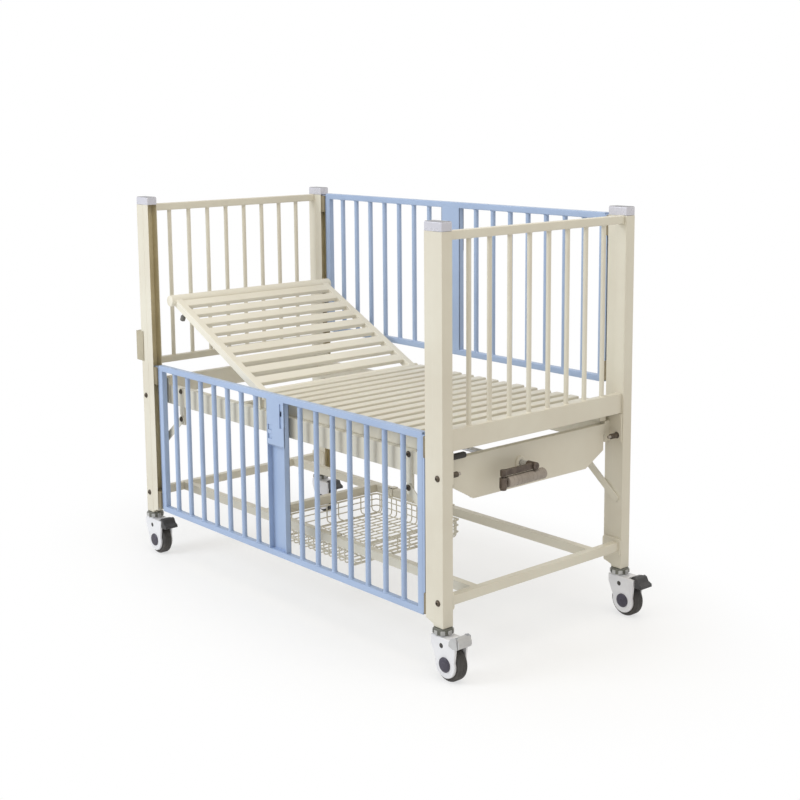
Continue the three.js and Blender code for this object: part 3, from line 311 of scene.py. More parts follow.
# Bed frame: two side rails of deep box section and four cross members, welded and coated cream.
# Corner plates bolt it to the posts; hangers below it take the braces; two lugs carry the backrest.
BED_HALF = 0.714
BED_RAIL_IN, BED_RAIL_OUT = 0.3177, 0.3427
BED_LOW, BED_TOP = 0.533, 0.598
CROSS_LOW = 0.558
CROSSES = ((-0.702, 0.620), (-0.250, 0.598), (0.280, 0.598), (0.702, 0.590))
CROSS_HALF = 0.012
CORNER_IN, CORNER_OUT, CORNER_LOW, CORNER_TOP = 0.655, 0.757, 0.536, 0.623
HANGER_X, HANGER_HALF, HANGER_IN, HANGER_LOW = 0.580, 0.012, 0.3347, 0.472
STRAP_OUT, STRAP_LOW, STRAP_TOP, STRAP_BOLT = 0.3455, 0.5055, 0.5965, 0.587
HINGE_X, HINGE_Z = -0.150, 0.6425
LUG_HALF, LUG_IN, LUG_OUT = 0.014, 0.326, 0.334


def arc(middle, radius, start, end, count):
    """Points round part of a circle in the X-Z plane, from one angle to another in degrees."""
    middle = Vector(middle)
    turns = (math.radians(start + (end - start) * i / count) for i in range(count + 1))
    return [middle + Matrix.Rotation(-turn, 3, "Y") @ Vector((radius, 0, 0)) for turn in turns]


bed = bmesh.new()
for x, top in CROSSES:
    soft_bar(bed, (x - CROSS_HALF, -BED_RAIL_IN - 0.001, CROSS_LOW), (x + CROSS_HALF, BED_RAIL_IN + 0.001, top))
for side in (-1, 1):
    soft_bar(bed, (-BED_HALF, side * BED_RAIL_IN, BED_LOW), (BED_HALF, side * BED_RAIL_OUT, BED_TOP), 0.003)
    eye = (HINGE_X, side * LUG_IN, HINGE_Z)
    foot = [(HINGE_X - LUG_HALF, side * LUG_IN, BED_TOP - 0.004), (HINGE_X + LUG_HALF, side * LUG_IN, BED_TOP - 0.004)]
    plate(bed, foot + arc(eye, LUG_HALF, 0, 180, 16), (0, side * (LUG_OUT - LUG_IN), 0))
    soft_bar(bed, (HINGE_X - LUG_HALF - 0.003, side * (LUG_IN - 0.0015), BED_TOP - 0.002),
             (HINGE_X + LUG_HALF + 0.003, side * (LUG_OUT + 0.003), BED_TOP + 0.003), 0.0012)
    for end in (-1, 1):
        soft_bar(bed, (end * CORNER_IN, side * (BED_RAIL_OUT - 0.001), CORNER_LOW),
                 (end * CORNER_OUT, side * RAIL_HALF, CORNER_TOP), 0.0012)
        hanger = end * HANGER_X
        soft_bar(bed, (hanger - HANGER_HALF, side * HANGER_IN, HANGER_LOW),
                 (hanger + HANGER_HALF, side * BED_RAIL_OUT, BED_LOW + 0.004), 0.0015)
        soft_bar(bed, (hanger - HANGER_HALF, side * (BED_RAIL_OUT - 0.001), STRAP_LOW),
                 (hanger + HANGER_HALF, side * STRAP_OUT, STRAP_TOP), 0.0008)
settle(bed, "bed_chassis", "cot_frame", cream_coat, "cream_paint", "bed_frame")


# Braces: flat bars with round ends, from the hangers down to the inner faces of the posts.
# Stamped, coated cream and held by dark dome bolts at the hanger and its strap.
BRACE_TOP, BRACE_FOOT = (0.580, 0.492), (0.736, 0.362)
BRACE_HALF = 0.012
BRACE_IN, BRACE_OUT = 0.343, 0.3467
brace_bolts = bmesh.new()
for corner, (end, side) in CORNERS.items():
    brace = bmesh.new()
    slope = math.degrees(math.atan2(BRACE_FOOT[1] - BRACE_TOP[1], BRACE_FOOT[0] - BRACE_TOP[0]))
    upper = arc((BRACE_TOP[0], side * BRACE_IN, BRACE_TOP[1]), BRACE_HALF, slope + 90, slope + 270, 14)
    lower = arc((BRACE_FOOT[0], side * BRACE_IN, BRACE_FOOT[1]), BRACE_HALF, slope - 90, slope + 90, 14)
    plate(brace, upper + lower, (0, side * (BRACE_OUT - BRACE_IN), 0))
    roll(brace, [e for e in brace.edges if abs(e.verts[0].co.y - e.verts[1].co.y) < 1e-5], 0.0008)
    if end < 0:
        bmesh.ops.scale(brace, vec=(-1, 1, 1), verts=brace.verts)
    settle(brace, f"corner_brace_{corner}", "cot_frame", cream_coat, "cream_paint", f"brace_{corner}")
    turned(brace_bolts, BOLT_SECTION, (end * HANGER_X, side * BRACE_OUT, BRACE_TOP[1]), (0, side, 0))
    turned(brace_bolts, BOLT_SECTION, (end * HANGER_X, side * STRAP_OUT, STRAP_BOLT), (0, side, 0))
settle(brace_bolts, "brace_bolts", "cot_frame", dark_zinc, "dark_steel")


# Flat deck: fifteen flat slats of steel tube across two bearers that rest on the bed frame.
# Each slat's end is closed by a set-in plug; the whole section is welded up and coated cream.
DECK_START, DECK_END = -0.128, 0.712
BEARER_IN, BEARER_OUT, BEARER_TOP = 0.300, 0.325, 0.641
DECK_CROSS = 0.692
DECK_CROSS_LOW = 0.619
SLATS, SLAT_FIRST, SLAT_PITCH = 15, -0.110, 0.0574286
SLAT_HALF, SLAT_LOW, SLAT_TOP, SLAT_REACH = 0.018, 0.639, 0.655, 0.3347
PLUG_RIM, PLUG_DEPTH = 0.0022, 0.0012

deck = bmesh.new()
for i in range(SLATS):
    x = SLAT_FIRST + i * SLAT_PITCH
    soft_bar(deck, (x - SLAT_HALF, -SLAT_REACH, SLAT_LOW), (x + SLAT_HALF, SLAT_REACH, SLAT_TOP), 0.004)
ends = [f for f in deck.faces if abs(f.calc_center_median().y) > SLAT_REACH - 1e-4 and f.calc_area() > 1e-4]
bmesh.ops.inset_individual(deck, faces=ends, thickness=PLUG_RIM, depth=-PLUG_DEPTH)
for side in (-1, 1):
    soft_bar(deck, (DECK_START, side * BEARER_IN, BED_TOP + 0.0002), (DECK_END, side * BEARER_OUT, BEARER_TOP))
soft_bar(deck, (DECK_CROSS, -BEARER_IN - 0.001, DECK_CROSS_LOW), (DECK_END, BEARER_IN + 0.001, BEARER_TOP))
settle(deck, "deck_slats", "cot_frame", cream_coat, "cream_paint", "flat_deck")


# Backrest: nine slats between two square rails, with a stout round bar across the top end.
# It turns on a torque tube; two fork plates below the tube take the push of the lift nut.
BACK_RAISED = math.radians(26.5)
BACK_LENGTH, BACK_HALF = 0.550, 0.0125
BACK_SLATS, BACK_FIRST, BACK_PITCH = 9, -0.054, -0.0575
BACK_SLAT_LOW = -0.0035
TOP_BAR, TOP_BAR_REACH = 0.019, 0.341
FORKS = ((-0.030, -0.024), (-0.076, -0.070))
FORK_LEAN = math.radians(-32.5)
FORK_HALF, FORK_SLOT, FORK_SHOULDER, FORK_SLOT_TOP, FORK_TIP = 0.018, 0.011, -0.040, -0.088, -0.135
BUFFER = ((0, 0.0360), (0.0060, 0.0360), (0.0085, 0.0345), (0.0090, 0.0200), (0.0050, 0.0170), (0.0045, 0), (0, 0))
BUFFER_AT = (-0.497, 0.308)
fork_outline = ((-BACK_HALF, 0), (-FORK_HALF, FORK_SHOULDER), (-FORK_HALF, FORK_TIP), (-FORK_SLOT, FORK_TIP),
                (-FORK_SLOT, FORK_SLOT_TOP), (FORK_SLOT, FORK_SLOT_TOP), (FORK_SLOT, FORK_TIP),
                (FORK_HALF, FORK_TIP), (FORK_HALF, FORK_SHOULDER), (BACK_HALF, 0))

back = bmesh.new()
for low, high in FORKS:
    plate(back, [(x, low, z) for x, z in fork_outline], (0, high - low, 0))
bmesh.ops.rotate(back, cent=(0, 0, 0), matrix=Matrix.Rotation(FORK_LEAN, 3, "Y"), verts=back.verts)
round_bar(back, (0, -BEARER_IN - 0.001, 0), (0, BEARER_IN + 0.001, 0), BACK_HALF, 28)
for i in range(BACK_SLATS):
    x = BACK_FIRST + i * BACK_PITCH
    soft_bar(back, (x - SLAT_HALF, -BEARER_IN - 0.002, BACK_SLAT_LOW), (x + SLAT_HALF, BEARER_IN + 0.002, BACK_HALF), 0.0045)
for side in (-1, 1):
    soft_bar(back, (-BACK_LENGTH, side * BEARER_IN, -BACK_HALF), (0, side * BEARER_OUT, BACK_HALF))
    round_bar(back, (0, side * BEARER_IN, 0), (0, side * BEARER_OUT, 0), BACK_HALF, 28)
bar_half = ((0, TOP_BAR_REACH), (TOP_BAR - 0.005, TOP_BAR_REACH), (TOP_BAR - 0.0015, TOP_BAR_REACH - 0.0015),
            (TOP_BAR, TOP_BAR_REACH - 0.005))
bar_section = bar_half + tuple((radius, -height) for radius, height in reversed(bar_half))
turned(back, bar_section, (-BACK_LENGTH, 0, 0), (0, 1, 0), 32)
raised = Matrix.Translation((HINGE_X, 0, HINGE_Z)) @ Matrix.Rotation(BACK_RAISED, 4, "Y")
bmesh.ops.transform(back, matrix=raised, verts=back.verts)
# Painted light: the backrest takes a paler copy of the frame's cream coat, for more light falling on its slats; it is
# the same cream paint.
lit_cream_coat = finish("lit_cream_powder_coat", tone(229, 224, 209), tone(223, 217, 201), (0.36, 0.52),
                   (750.0, 0.0002), (tone(236, 232, 222), 0.5), coat=0.12)
settle(back, "backrest_panel", "back_section", lit_cream_coat, "cream_paint", "backrest")

grey_rubber = finish("grey_rubber", tone(120, 118, 114), tone(102, 100, 96), (0.6, 0.8), (500.0, 0.0003),
                     (tone(140, 138, 134), 0.5), drift=30.0)
buffers = bmesh.new()
for side in (-1, 1):
    turned(buffers, BUFFER, (BUFFER_AT[0], side * BUFFER_AT[1], -BACK_HALF + 0.001), (0, 0, -1), 24)
bmesh.ops.transform(buffers, matrix=raised, verts=buffers.verts)
settle(buffers, "rest_buffers", "back_section", grey_rubber, "black_plastic")


# Hinge pins: two plated pins with flat round heads, through the lugs into the ends of the torque tube.
# Turned steel, each with a shallow dimple in its head.
PIN_TIP, PIN_FACE, PIN_END = 0.3073, 0.3343, 0.3383
PIN, PIN_HEAD = 0.006, 0.010
bright_plate = finish("bright_plate", tone(205, 205, 206), tone(178, 178, 181), (0.22, 0.4), (1200.0, 0.00006),
                      (tone(120, 116, 112), 0.35), metal=0.9, drift=40.0)
pin_section = ((0, PIN_TIP), (PIN - 0.001, PIN_TIP), (PIN, PIN_TIP + 0.001), (PIN, PIN_FACE), (PIN_HEAD, PIN_FACE),
               (PIN_HEAD, PIN_END - 0.0012), (PIN_HEAD - 0.0012, PIN_END), (0.0035, PIN_END), (0.0025, PIN_END - 0.0008),
               (0, PIN_END - 0.0008))
for near, side in (("near", -1), ("far", 1)):
    pin = bmesh.new()
    turned(pin, pin_section, (HINGE_X, 0, HINGE_Z), (0, side, 0), 24)
    settle(pin, f"turned_pin_{near}", "cot_frame", bright_plate, "bright_steel", f"hinge_pin_{near}")


# Crank spindle: a plated steel bar with a collar at the apron and a nose for the crank's hub.
# A coarse four-start screw, cut along its inner end, drives the lift nut.
CRANK_Y, CRANK_Z = -0.050, 0.539
SPINDLE, CORE, NOSE, COLLAR = 0.008, 0.0068, 0.006, 0.013
SPINDLE_TAIL, SCREW_START, SCREW_END = -0.254, -0.2375, -0.062
COLLAR_BACK, COLLAR_FACE, SHOULDER, NOSE_END = 0.693, 0.702, 0.7497, 0.7637
SCREW_LEAD, SCREW_STARTS, TURN_STEPS = 0.016, 4, 16
TOOTH = ((0.0, CORE - 0.0003), (0.0006, SPINDLE), (0.0018, SPINDLE), (0.0024, CORE - 0.0003))

spindle = bmesh.new()
for start in range(SCREW_STARTS):
    ridge = [spindle.verts.new((SCREW_START + along, 0, radius)) for along, radius in TOOTH]
    tooth = spindle.faces.new(ridge)
    lie = Matrix.Rotation(2 * math.pi * start / SCREW_STARTS, 3, "X")
    bmesh.ops.rotate(spindle, cent=(0, 0, 0), matrix=lie, verts=ridge)
    turns = (SCREW_END - SCREW_START) / SCREW_LEAD
    steps = round(turns * TURN_STEPS)
    bmesh.ops.spin(spindle, geom=ridge + list(tooth.edges) + [tooth], cent=(0, 0, 0), axis=(1, 0, 0),
                   dvec=(SCREW_LEAD * turns / steps, 0, 0), angle=2 * math.pi * turns, steps=steps)
bmesh.ops.translate(spindle, vec=(0, CRANK_Y, CRANK_Z), verts=spindle.verts)
spindle_section = ((0, SPINDLE_TAIL), (SPINDLE - 0.001, SPINDLE_TAIL), (SPINDLE, SPINDLE_TAIL + 0.001),
                   (SPINDLE, SCREW_START), (CORE, SCREW_START + 0.001), (CORE, SCREW_END - 0.001),
                   (SPINDLE, SCREW_END), (SPINDLE, COLLAR_BACK), (COLLAR - 0.001, COLLAR_BACK),
                   (COLLAR, COLLAR_BACK + 0.001), (COLLAR, COLLAR_FACE - 0.001), (COLLAR - 0.001, COLLAR_FACE),
                   (SPINDLE, COLLAR_FACE), (SPINDLE, SHOULDER), (NOSE, SHOULDER), (NOSE, NOSE_END), (0, NOSE_END))
turned(spindle, spindle_section, (0, CRANK_Y, CRANK_Z), (1, 0, 0), 24)
settle(spindle, "screw_spindle", "crank", bright_plate, "bright_steel", "crank_spindle")


# Lift nut: a plated block on the screw with a cross pin through it, headed at both ends.
# The pin's necks stand in the slots of the backrest's two fork plates.
NUT_X, NUT_LONG, NUT_WIDE, NUT_TALL = -0.1391, 0.020, 0.017, 0.016
NECK, NECK_END, HEAD, HEAD_END = 0.006, 0.029, 0.013, 0.033
nut = bmesh.new()
for side in (-1, 1):
    soft_bar(nut, (NUT_X - NUT_LONG, CRANK_Y + side * (SPINDLE + 0.0004), CRANK_Z - NUT_TALL),
             (NUT_X + NUT_LONG, CRANK_Y + side * NUT_WIDE, CRANK_Z + NUT_TALL), 0.0015)
    soft_bar(nut, (NUT_X - NUT_LONG, CRANK_Y - NUT_WIDE + 0.003, CRANK_Z + side * (SPINDLE + 0.0004)),
             (NUT_X + NUT_LONG, CRANK_Y + NUT_WIDE - 0.003, CRANK_Z + side * NUT_TALL), 0.0015)
    neck = ((0, NUT_WIDE - 0.002), (NECK, NUT_WIDE - 0.002), (NECK, NECK_END), (HEAD, NECK_END),
            (HEAD, HEAD_END - 0.001), (HEAD - 0.001, HEAD_END), (0, HEAD_END))
    turned(nut, neck, (NUT_X, CRANK_Y, CRANK_Z), (0, side, 0), 24)
settle(nut, "screw_nut", "lift_nut_body", bright_plate, "bright_steel", "lift_nut")


# Foot apron: a folded 4 mm sheet below the foot rail, its lower corners cut away and its foot turned in.
# Coated cream, welded to the foot cross member; a black moulded clip sits on its near top corner.
APRON_IN, APRON_OUT = 0.7143, 0.7183
APRON_TOP, APRON_SIDE_LOW, APRON_LOW = 0.592, 0.512, 0.468
APRON_HALF, APRON_FOOT_HALF, APRON_RETURN = 0.308, 0.230, 0.018
CLIP_IN, CLIP_OUT, CLIP_TOP = -0.260, -0.316, 0.606
apron = bmesh.new()
sheet_outline = ((-APRON_HALF, APRON_TOP), (-APRON_HALF, APRON_SIDE_LOW), (-APRON_FOOT_HALF, APRON_LOW),
                 (APRON_FOOT_HALF, APRON_LOW), (APRON_HALF, APRON_SIDE_LOW), (APRON_HALF, APRON_TOP))
plate(apron, [(APRON_IN, y, z) for y, z in sheet_outline], (APRON_OUT - APRON_IN, 0, 0))
roll(apron, [e for e in apron.edges if min(v.co.x for v in e.verts) > APRON_OUT - 1e-5], 0.0015)
soft_bar(apron, (APRON_OUT - APRON_RETURN, -APRON_FOOT_HALF, APRON_LOW),
         (APRON_IN + 0.001, APRON_FOOT_HALF, APRON_LOW + APRON_OUT - APRON_IN), 0.001)
settle(apron, "folded_apron", "cot_frame", cream_coat, "cream_paint", "foot_apron")

rubber_black = finish("rubber_black", tone(62, 60, 58), tone(48, 46, 45), (0.6, 0.8), (500.0, 0.0003),
                      (tone(95, 92, 90), 0.5), drift=30.0)
clip = bmesh.new()
soft_bar(clip, (APRON_IN - 0.006, CLIP_IN, APRON_TOP - 0.003), (APRON_OUT + 0.006, CLIP_OUT, CLIP_TOP), 0.006)
settle(clip, "apron_clip", "cot_frame", rubber_black, "black_plastic")


# Crank bush: a flanged sleeve in the apron that the spindle turns in.
# Turned steel, coated cream with the apron; the CAD's spindle block stays and takes the same coat.
BUSH, BUSH_BACK, FLANGE, FLANGE_BACK, FLANGE_FACE = 0.012, 0.7023, 0.018, 0.7186, 0.7246
BUSH_BORE = 0.0084
bush = bmesh.new()
bush_section = ((BUSH_BORE, BUSH_BACK), (BUSH, BUSH_BACK), (BUSH, FLANGE_BACK), (FLANGE, FLANGE_BACK),
                (FLANGE, FLANGE_FACE - 0.002), (FLANGE - 0.002, FLANGE_FACE), (BUSH_BORE + 0.001, FLANGE_FACE),
                (BUSH_BORE, FLANGE_FACE - 0.001), (BUSH_BORE, BUSH_BACK))
turned(bush, bush_section, (0, CRANK_Y, CRANK_Z), (1, 0, 0), 32)
settle(bush, "flanged_bush", "cot_frame", cream_coat, "cream_paint", "crank_bush")
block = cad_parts["spindle_block"]
block.data.materials.clear()
block.data.materials.append(cream_coat)


# Crank arm: a flat steel bar from a round hub on the spindle's nose to a fold pin at its far end.
# Dark plated; the hub is held by a set screw and the fold pin by a round head.
ARM_X, ARM_HALF, ARM_WIDE, ARM_END = 0.772, 0.005, 0.009, -0.170
HUB, HUB_BACK, HUB_FACE = 0.011, 0.750, 0.784
FOLD, FOLD_HEAD, FOLD_TOP, FOLD_LOW = 0.005, 0.009, 0.4957, 0.4907
brown_plate = finish("brown_plate", tone(104, 92, 82), tone(78, 68, 60), (0.35, 0.55), (900.0, 0.0001),
                     (tone(150, 142, 132), 0.6), metal=0.55, drift=40.0)
arm = bmesh.new()
hub_section = ((NOSE + 0.0003, HUB_BACK), (HUB - 0.001, HUB_BACK), (HUB, HUB_BACK + 0.001), (HUB, HUB_FACE - 0.0015),
               (HUB - 0.0015, HUB_FACE), (0.004, HUB_FACE), (0.0032, HUB_FACE - 0.0012), (0, HUB_FACE - 0.0012))
hub_socket = ((NOSE + 0.0003, HUB_BACK), (NOSE + 0.0003, NOSE_END + 0.0002), (0, NOSE_END + 0.0002))
turned(arm, tuple(reversed(hub_section)) + hub_socket, (0, CRANK_Y, CRANK_Z), (1, 0, 0), 28)
soft_bar(arm, (ARM_X - ARM_HALF, ARM_END, CRANK_Z - ARM_WIDE), (ARM_X + ARM_HALF, CRANK_Y - HUB + 0.002, CRANK_Z + ARM_WIDE), 0.0018)
eye_section = ((0, -ARM_WIDE), (ARM_WIDE - 0.001, -ARM_WIDE), (ARM_WIDE, 0.001 - ARM_WIDE), (ARM_WIDE, ARM_WIDE - 0.001),
               (ARM_WIDE - 0.001, ARM_WIDE), (0, ARM_WIDE))
turned(arm, eye_section, (ARM_X, ARM_END, CRANK_Z), (0, 0, 1), 28)
fold_section = ((0, FOLD_LOW), (FOLD_HEAD - 0.001, FOLD_LOW), (FOLD_HEAD, FOLD_LOW + 0.001), (FOLD_HEAD, FOLD_TOP),
                (FOLD, FOLD_TOP), (FOLD, CRANK_Z - ARM_WIDE + 0.001), (0, CRANK_Z - ARM_WIDE + 0.001))
turned(arm, fold_section, (ARM_X, ARM_END, 0), (0, 0, 1), 24)
settle(arm, "crank_lever", "crank", brown_plate, "dark_steel", "crank_arm")


# Crank grip: a steel bar folded back along the arm, with a loose ribbed plastic sleeve to turn it by.
# The bar's knuckle hangs on the fold pin and a round stop keeps the sleeve on.
GRIP_Z, GRIP_BAR, GRIP_STOP, GRIP_STOP_BACK, GRIP_STOP_END = 0.511, 0.005, 0.009, -0.0087, -0.0047
KNUCKLE, KNUCKLE_HALF = 0.011, 0.015
GRIP, GRIP_START, GRIP_END = 0.016, -0.156, -0.009
GRIP_RIBS = 9
grip_bar = bmesh.new()
rod_section = ((0, ARM_END + KNUCKLE - 0.003), (GRIP_BAR, ARM_END + KNUCKLE - 0.003), (GRIP_BAR, GRIP_STOP_BACK), (GRIP_STOP, GRIP_STOP_BACK),
               (GRIP_STOP, GRIP_STOP_END - 0.001), (GRIP_STOP - 0.001, GRIP_STOP_END), (0, GRIP_STOP_END))
turned(grip_bar, rod_section, (ARM_X, 0, GRIP_Z), (0, 1, 0), 24)
knuckle_section = ((FOLD + 0.0004, -KNUCKLE_HALF), (KNUCKLE - 0.0012, -KNUCKLE_HALF), (KNUCKLE, 0.0012 - KNUCKLE_HALF),
                   (KNUCKLE, KNUCKLE_HALF - 0.0012), (KNUCKLE - 0.0012, KNUCKLE_HALF), (FOLD + 0.0004, KNUCKLE_HALF),
                   (FOLD + 0.0004, -KNUCKLE_HALF))
turned(grip_bar, knuckle_section, (ARM_X, ARM_END, GRIP_Z), (0, 0, 1), 28)
settle(grip_bar, "folding_bar", "grip_arm", brown_plate, "dark_steel", "crank_grip_bar")

grip_moulding = finish("grip_moulding", tone(164, 154, 144), tone(144, 134, 124), (0.42, 0.6), (650.0, 0.00025),
                       (tone(172, 164, 154), 0.5), drift=18.0)
sleeve = bmesh.new()
sleeve_section = [(GRIP_BAR + 0.0004, GRIP_START), (GRIP - 0.0045, GRIP_START), (GRIP - 0.0015, GRIP_START + 0.001),
                  (GRIP, GRIP_START + 0.004)]
first_rib, last_rib = GRIP_START + 0.014, GRIP_END - 0.014
for i in range(GRIP_RIBS):
    y = first_rib + (last_rib - first_rib) * i / (GRIP_RIBS - 1)
    sleeve_section += [(GRIP, y - 0.0022), (GRIP - 0.0009, y - 0.0012), (GRIP - 0.0009, y + 0.0012), (GRIP, y + 0.0022)]
sleeve_section += [(GRIP, GRIP_END - 0.004), (GRIP - 0.0015, GRIP_END - 0.001), (GRIP - 0.0045, GRIP_END),
                   (GRIP_BAR + 0.0004, GRIP_END), (GRIP_BAR + 0.0004, GRIP_START)]
turned(sleeve, sleeve_section, (ARM_X, 0, GRIP_Z), (0, 1, 0), 32)
settle(sleeve, "grip_sleeve_moulding", "grip_sleeve", grip_moulding, "grip_plastic", "crank_grip")


# Guards: two barred side panels that slide in the posts, welded of square tube, round bars and sheet.
# Coated pale blue; the wide middle stile is a folded channel with a cover that the latch moves behind.
GUARD_HALF, GUARD_DEEP, GUARD_TALL = 0.670, 0.010, 0.512
GUARD_RAIL, GUARD_STILE, GUARD_BAR = 0.020, 0.022, 0.008
MIDDLE_HALF, MIDDLE_SHEET = 0.044, 0.003
BARS_A_SIDE, FIRST_BAR = 7, 0.114
COVER_LOW, COVER_TOP = 0.352, 0.494
SLOT = ((0.022, 0.034), (0.411, 0.486))
NOTCH = ((-0.039, -0.018), (0.371, 0.416))
SLOT_BACK, SLOT_BACK_LOW = 0.0015, 0.4637
GUARD_AT = {"near": Matrix.Translation((0, -0.366, 0.157)),
            "far": Matrix.Translation((0, 0.366, 0.705)) @ Matrix.Rotation(math.pi, 4, "Z")}
blue_coat = finish("blue_powder_coat", tone(161, 180, 210), tone(152, 171, 202), (0.3, 0.46),
                   (750.0, 0.0002), (tone(186, 202, 230), 0.5), coat=0.15)


def within(point, opening):
    """Whether a point of the cover lies in one of its openings."""
    (left, right), (low, high) = opening
    return left < point.x < right and low < point.z < high


for near, placed in GUARD_AT.items():
    guard = bmesh.new()
    lie = Matrix.LocRotScale((0, -GUARD_DEEP, (COVER_LOW + COVER_TOP) / 2), None,
                             (2 * MIDDLE_HALF, 1, COVER_TOP - COVER_LOW)) @ Matrix.Rotation(math.pi / 2, 4, "X")
    bmesh.ops.create_grid(guard, x_segments=1, y_segments=1, size=0.5, matrix=lie)
    for across, up in (SLOT, NOTCH):
        for axis, cuts in (((1, 0, 0), across), ((0, 0, 1), up)):
            for cut in cuts:
                sheet = guard.verts[:] + guard.edges[:] + guard.faces[:]
                bmesh.ops.bisect_plane(guard, geom=sheet, plane_co=Vector(axis) * cut, plane_no=axis)
    opened = [f for f in guard.faces if any(within(f.calc_center_median(), o) for o in (SLOT, NOTCH))]
    bmesh.ops.delete(guard, geom=opened, context="FACES")
    bmesh.ops.dissolve_limit(guard, angle_limit=0.01, verts=guard.verts, edges=guard.edges)
    drawn = bmesh.ops.extrude_face_region(guard, geom=guard.faces[:])["geom"]
    bmesh.ops.translate(guard, vec=(0, MIDDLE_SHEET, 0), verts=[v for v in drawn if isinstance(v, bmesh.types.BMVert)])

    low, high = GUARD_RAIL - 0.002, GUARD_TALL - GUARD_RAIL + 0.002
    soft_bar(guard, (-MIDDLE_HALF, GUARD_DEEP - MIDDLE_SHEET, low), (MIDDLE_HALF, GUARD_DEEP, high), 0.001)
    soft_bar(guard, (-MIDDLE_HALF + 0.001, -GUARD_DEEP, COVER_LOW), (MIDDLE_HALF - 0.001, GUARD_DEEP - 0.001, COVER_LOW + MIDDLE_SHEET), 0.0008)
    soft_bar(guard, (SLOT[0][0] - 0.004, MIDDLE_SHEET - GUARD_DEEP - 0.0002, SLOT_BACK_LOW),
             (SLOT[0][1] + 0.004, MIDDLE_SHEET - GUARD_DEEP + SLOT_BACK, COVER_TOP - 0.001), SLOT_BACK / 4)
    for bottom in (0, GUARD_TALL - GUARD_RAIL):
        soft_bar(guard, (-GUARD_HALF, -GUARD_DEEP, bottom), (GUARD_HALF, GUARD_DEEP, bottom + GUARD_RAIL), 0.003)
    pitch = (GUARD_HALF - GUARD_STILE / 2 - FIRST_BAR) / BARS_A_SIDE
    for side in (-1, 1):
        soft_bar(guard, (side * (MIDDLE_HALF - MIDDLE_SHEET), -GUARD_DEEP, low), (side * MIDDLE_HALF, GUARD_DEEP, high), 0.001)
        soft_bar(guard, (side * (GUARD_HALF - GUARD_STILE), -GUARD_DEEP, low), (side * GUARD_HALF, GUARD_DEEP, high), 0.003)
        for i in range(BARS_A_SIDE):
            barred(guard, side * (FIRST_BAR + i * pitch), 0, GUARD_RAIL, GUARD_TALL - GUARD_RAIL, GUARD_BAR)
    bmesh.ops.transform(guard, matrix=placed, verts=guard.verts)
    settle(guard, f"{near}_guard_panel", f"{near}_guard", blue_coat, "blue_paint", f"{near}_guard_frame")


# Latches: a pressed blue plate behind each guard's cover, lifted by a finger tab in the notch.
# The CAD's own plates stay as they are and take the guard's coat.
for near in GUARD_AT:
    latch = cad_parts[f"{near}_guard_latch"]
    latch.data.materials.clear()
    latch.data.materials.append(blue_coat)


# Glides: nylon blocks on the ends of each guard, which run in the post channels; their brown is painted shade, the dark
# of a shaded channel.
# Milled from bar and screwed through a blue end strip, whose upper end is turned out over the top block.
GLIDE_BACK, GLIDE_TIP, GLIDE_DEEP = 0.6703, 0.7120, 0.0159
STRIP_OUT = {"head": 0.6723, "foot": 0.6790}
GUARD_ENDS = {"near": (("head", -1), ("foot", 1)), "far": (("head", 1), ("foot", -1))}
GLIDE_BLOCKS = ((0.008, 0.068), (0.444, 0.504))
TONGUE_LOW, TONGUE_TOP, TONGUE_TIP, TONGUE_DEEP = 0.4925, 0.5055, 0.7060, 0.0100
# Painted shade: the glides take the dark brown of the shaded channel they run in.
nylon = finish("channel_shade_nylon", tone(136, 124, 98), tone(118, 107, 84), (0.45, 0.6), (900.0, 0.0001),
               (tone(160, 150, 126), 0.4), drift=20.0)
for near, placed in GUARD_AT.items():
    for end, sign in GUARD_ENDS[near]:
        strip = bmesh.new()
        strip_out = sign * STRIP_OUT[end]
        soft_bar(strip, (sign * GLIDE_BACK, -GUARD_DEEP, GLIDE_BLOCKS[0][0]),
                 (strip_out, GUARD_DEEP, TONGUE_TOP), 0.0008)
        soft_bar(strip, (strip_out - sign * 0.001, -TONGUE_DEEP + 0.0005, TONGUE_LOW),
                 (sign * TONGUE_TIP, TONGUE_DEEP - 0.0005, TONGUE_TOP - 0.0005), 0.001)
        bmesh.ops.transform(strip, matrix=placed, verts=strip.verts)
        settle(strip, f"{near}_end_strip_{end}", f"{near}_guard", blue_coat, "blue_paint")
        glide = bmesh.new()
        for low, high in GLIDE_BLOCKS:
            soft_bar(glide, (strip_out, -GLIDE_DEEP, low), (sign * GLIDE_TIP, GLIDE_DEEP, high), 0.002)
        bmesh.ops.transform(glide, matrix=placed, verts=glide.verts)
        settle(glide, f"{near}_glide_{end}", f"{near}_guard", nylon, "nylon", f"{near}_guard_glide_{end}")


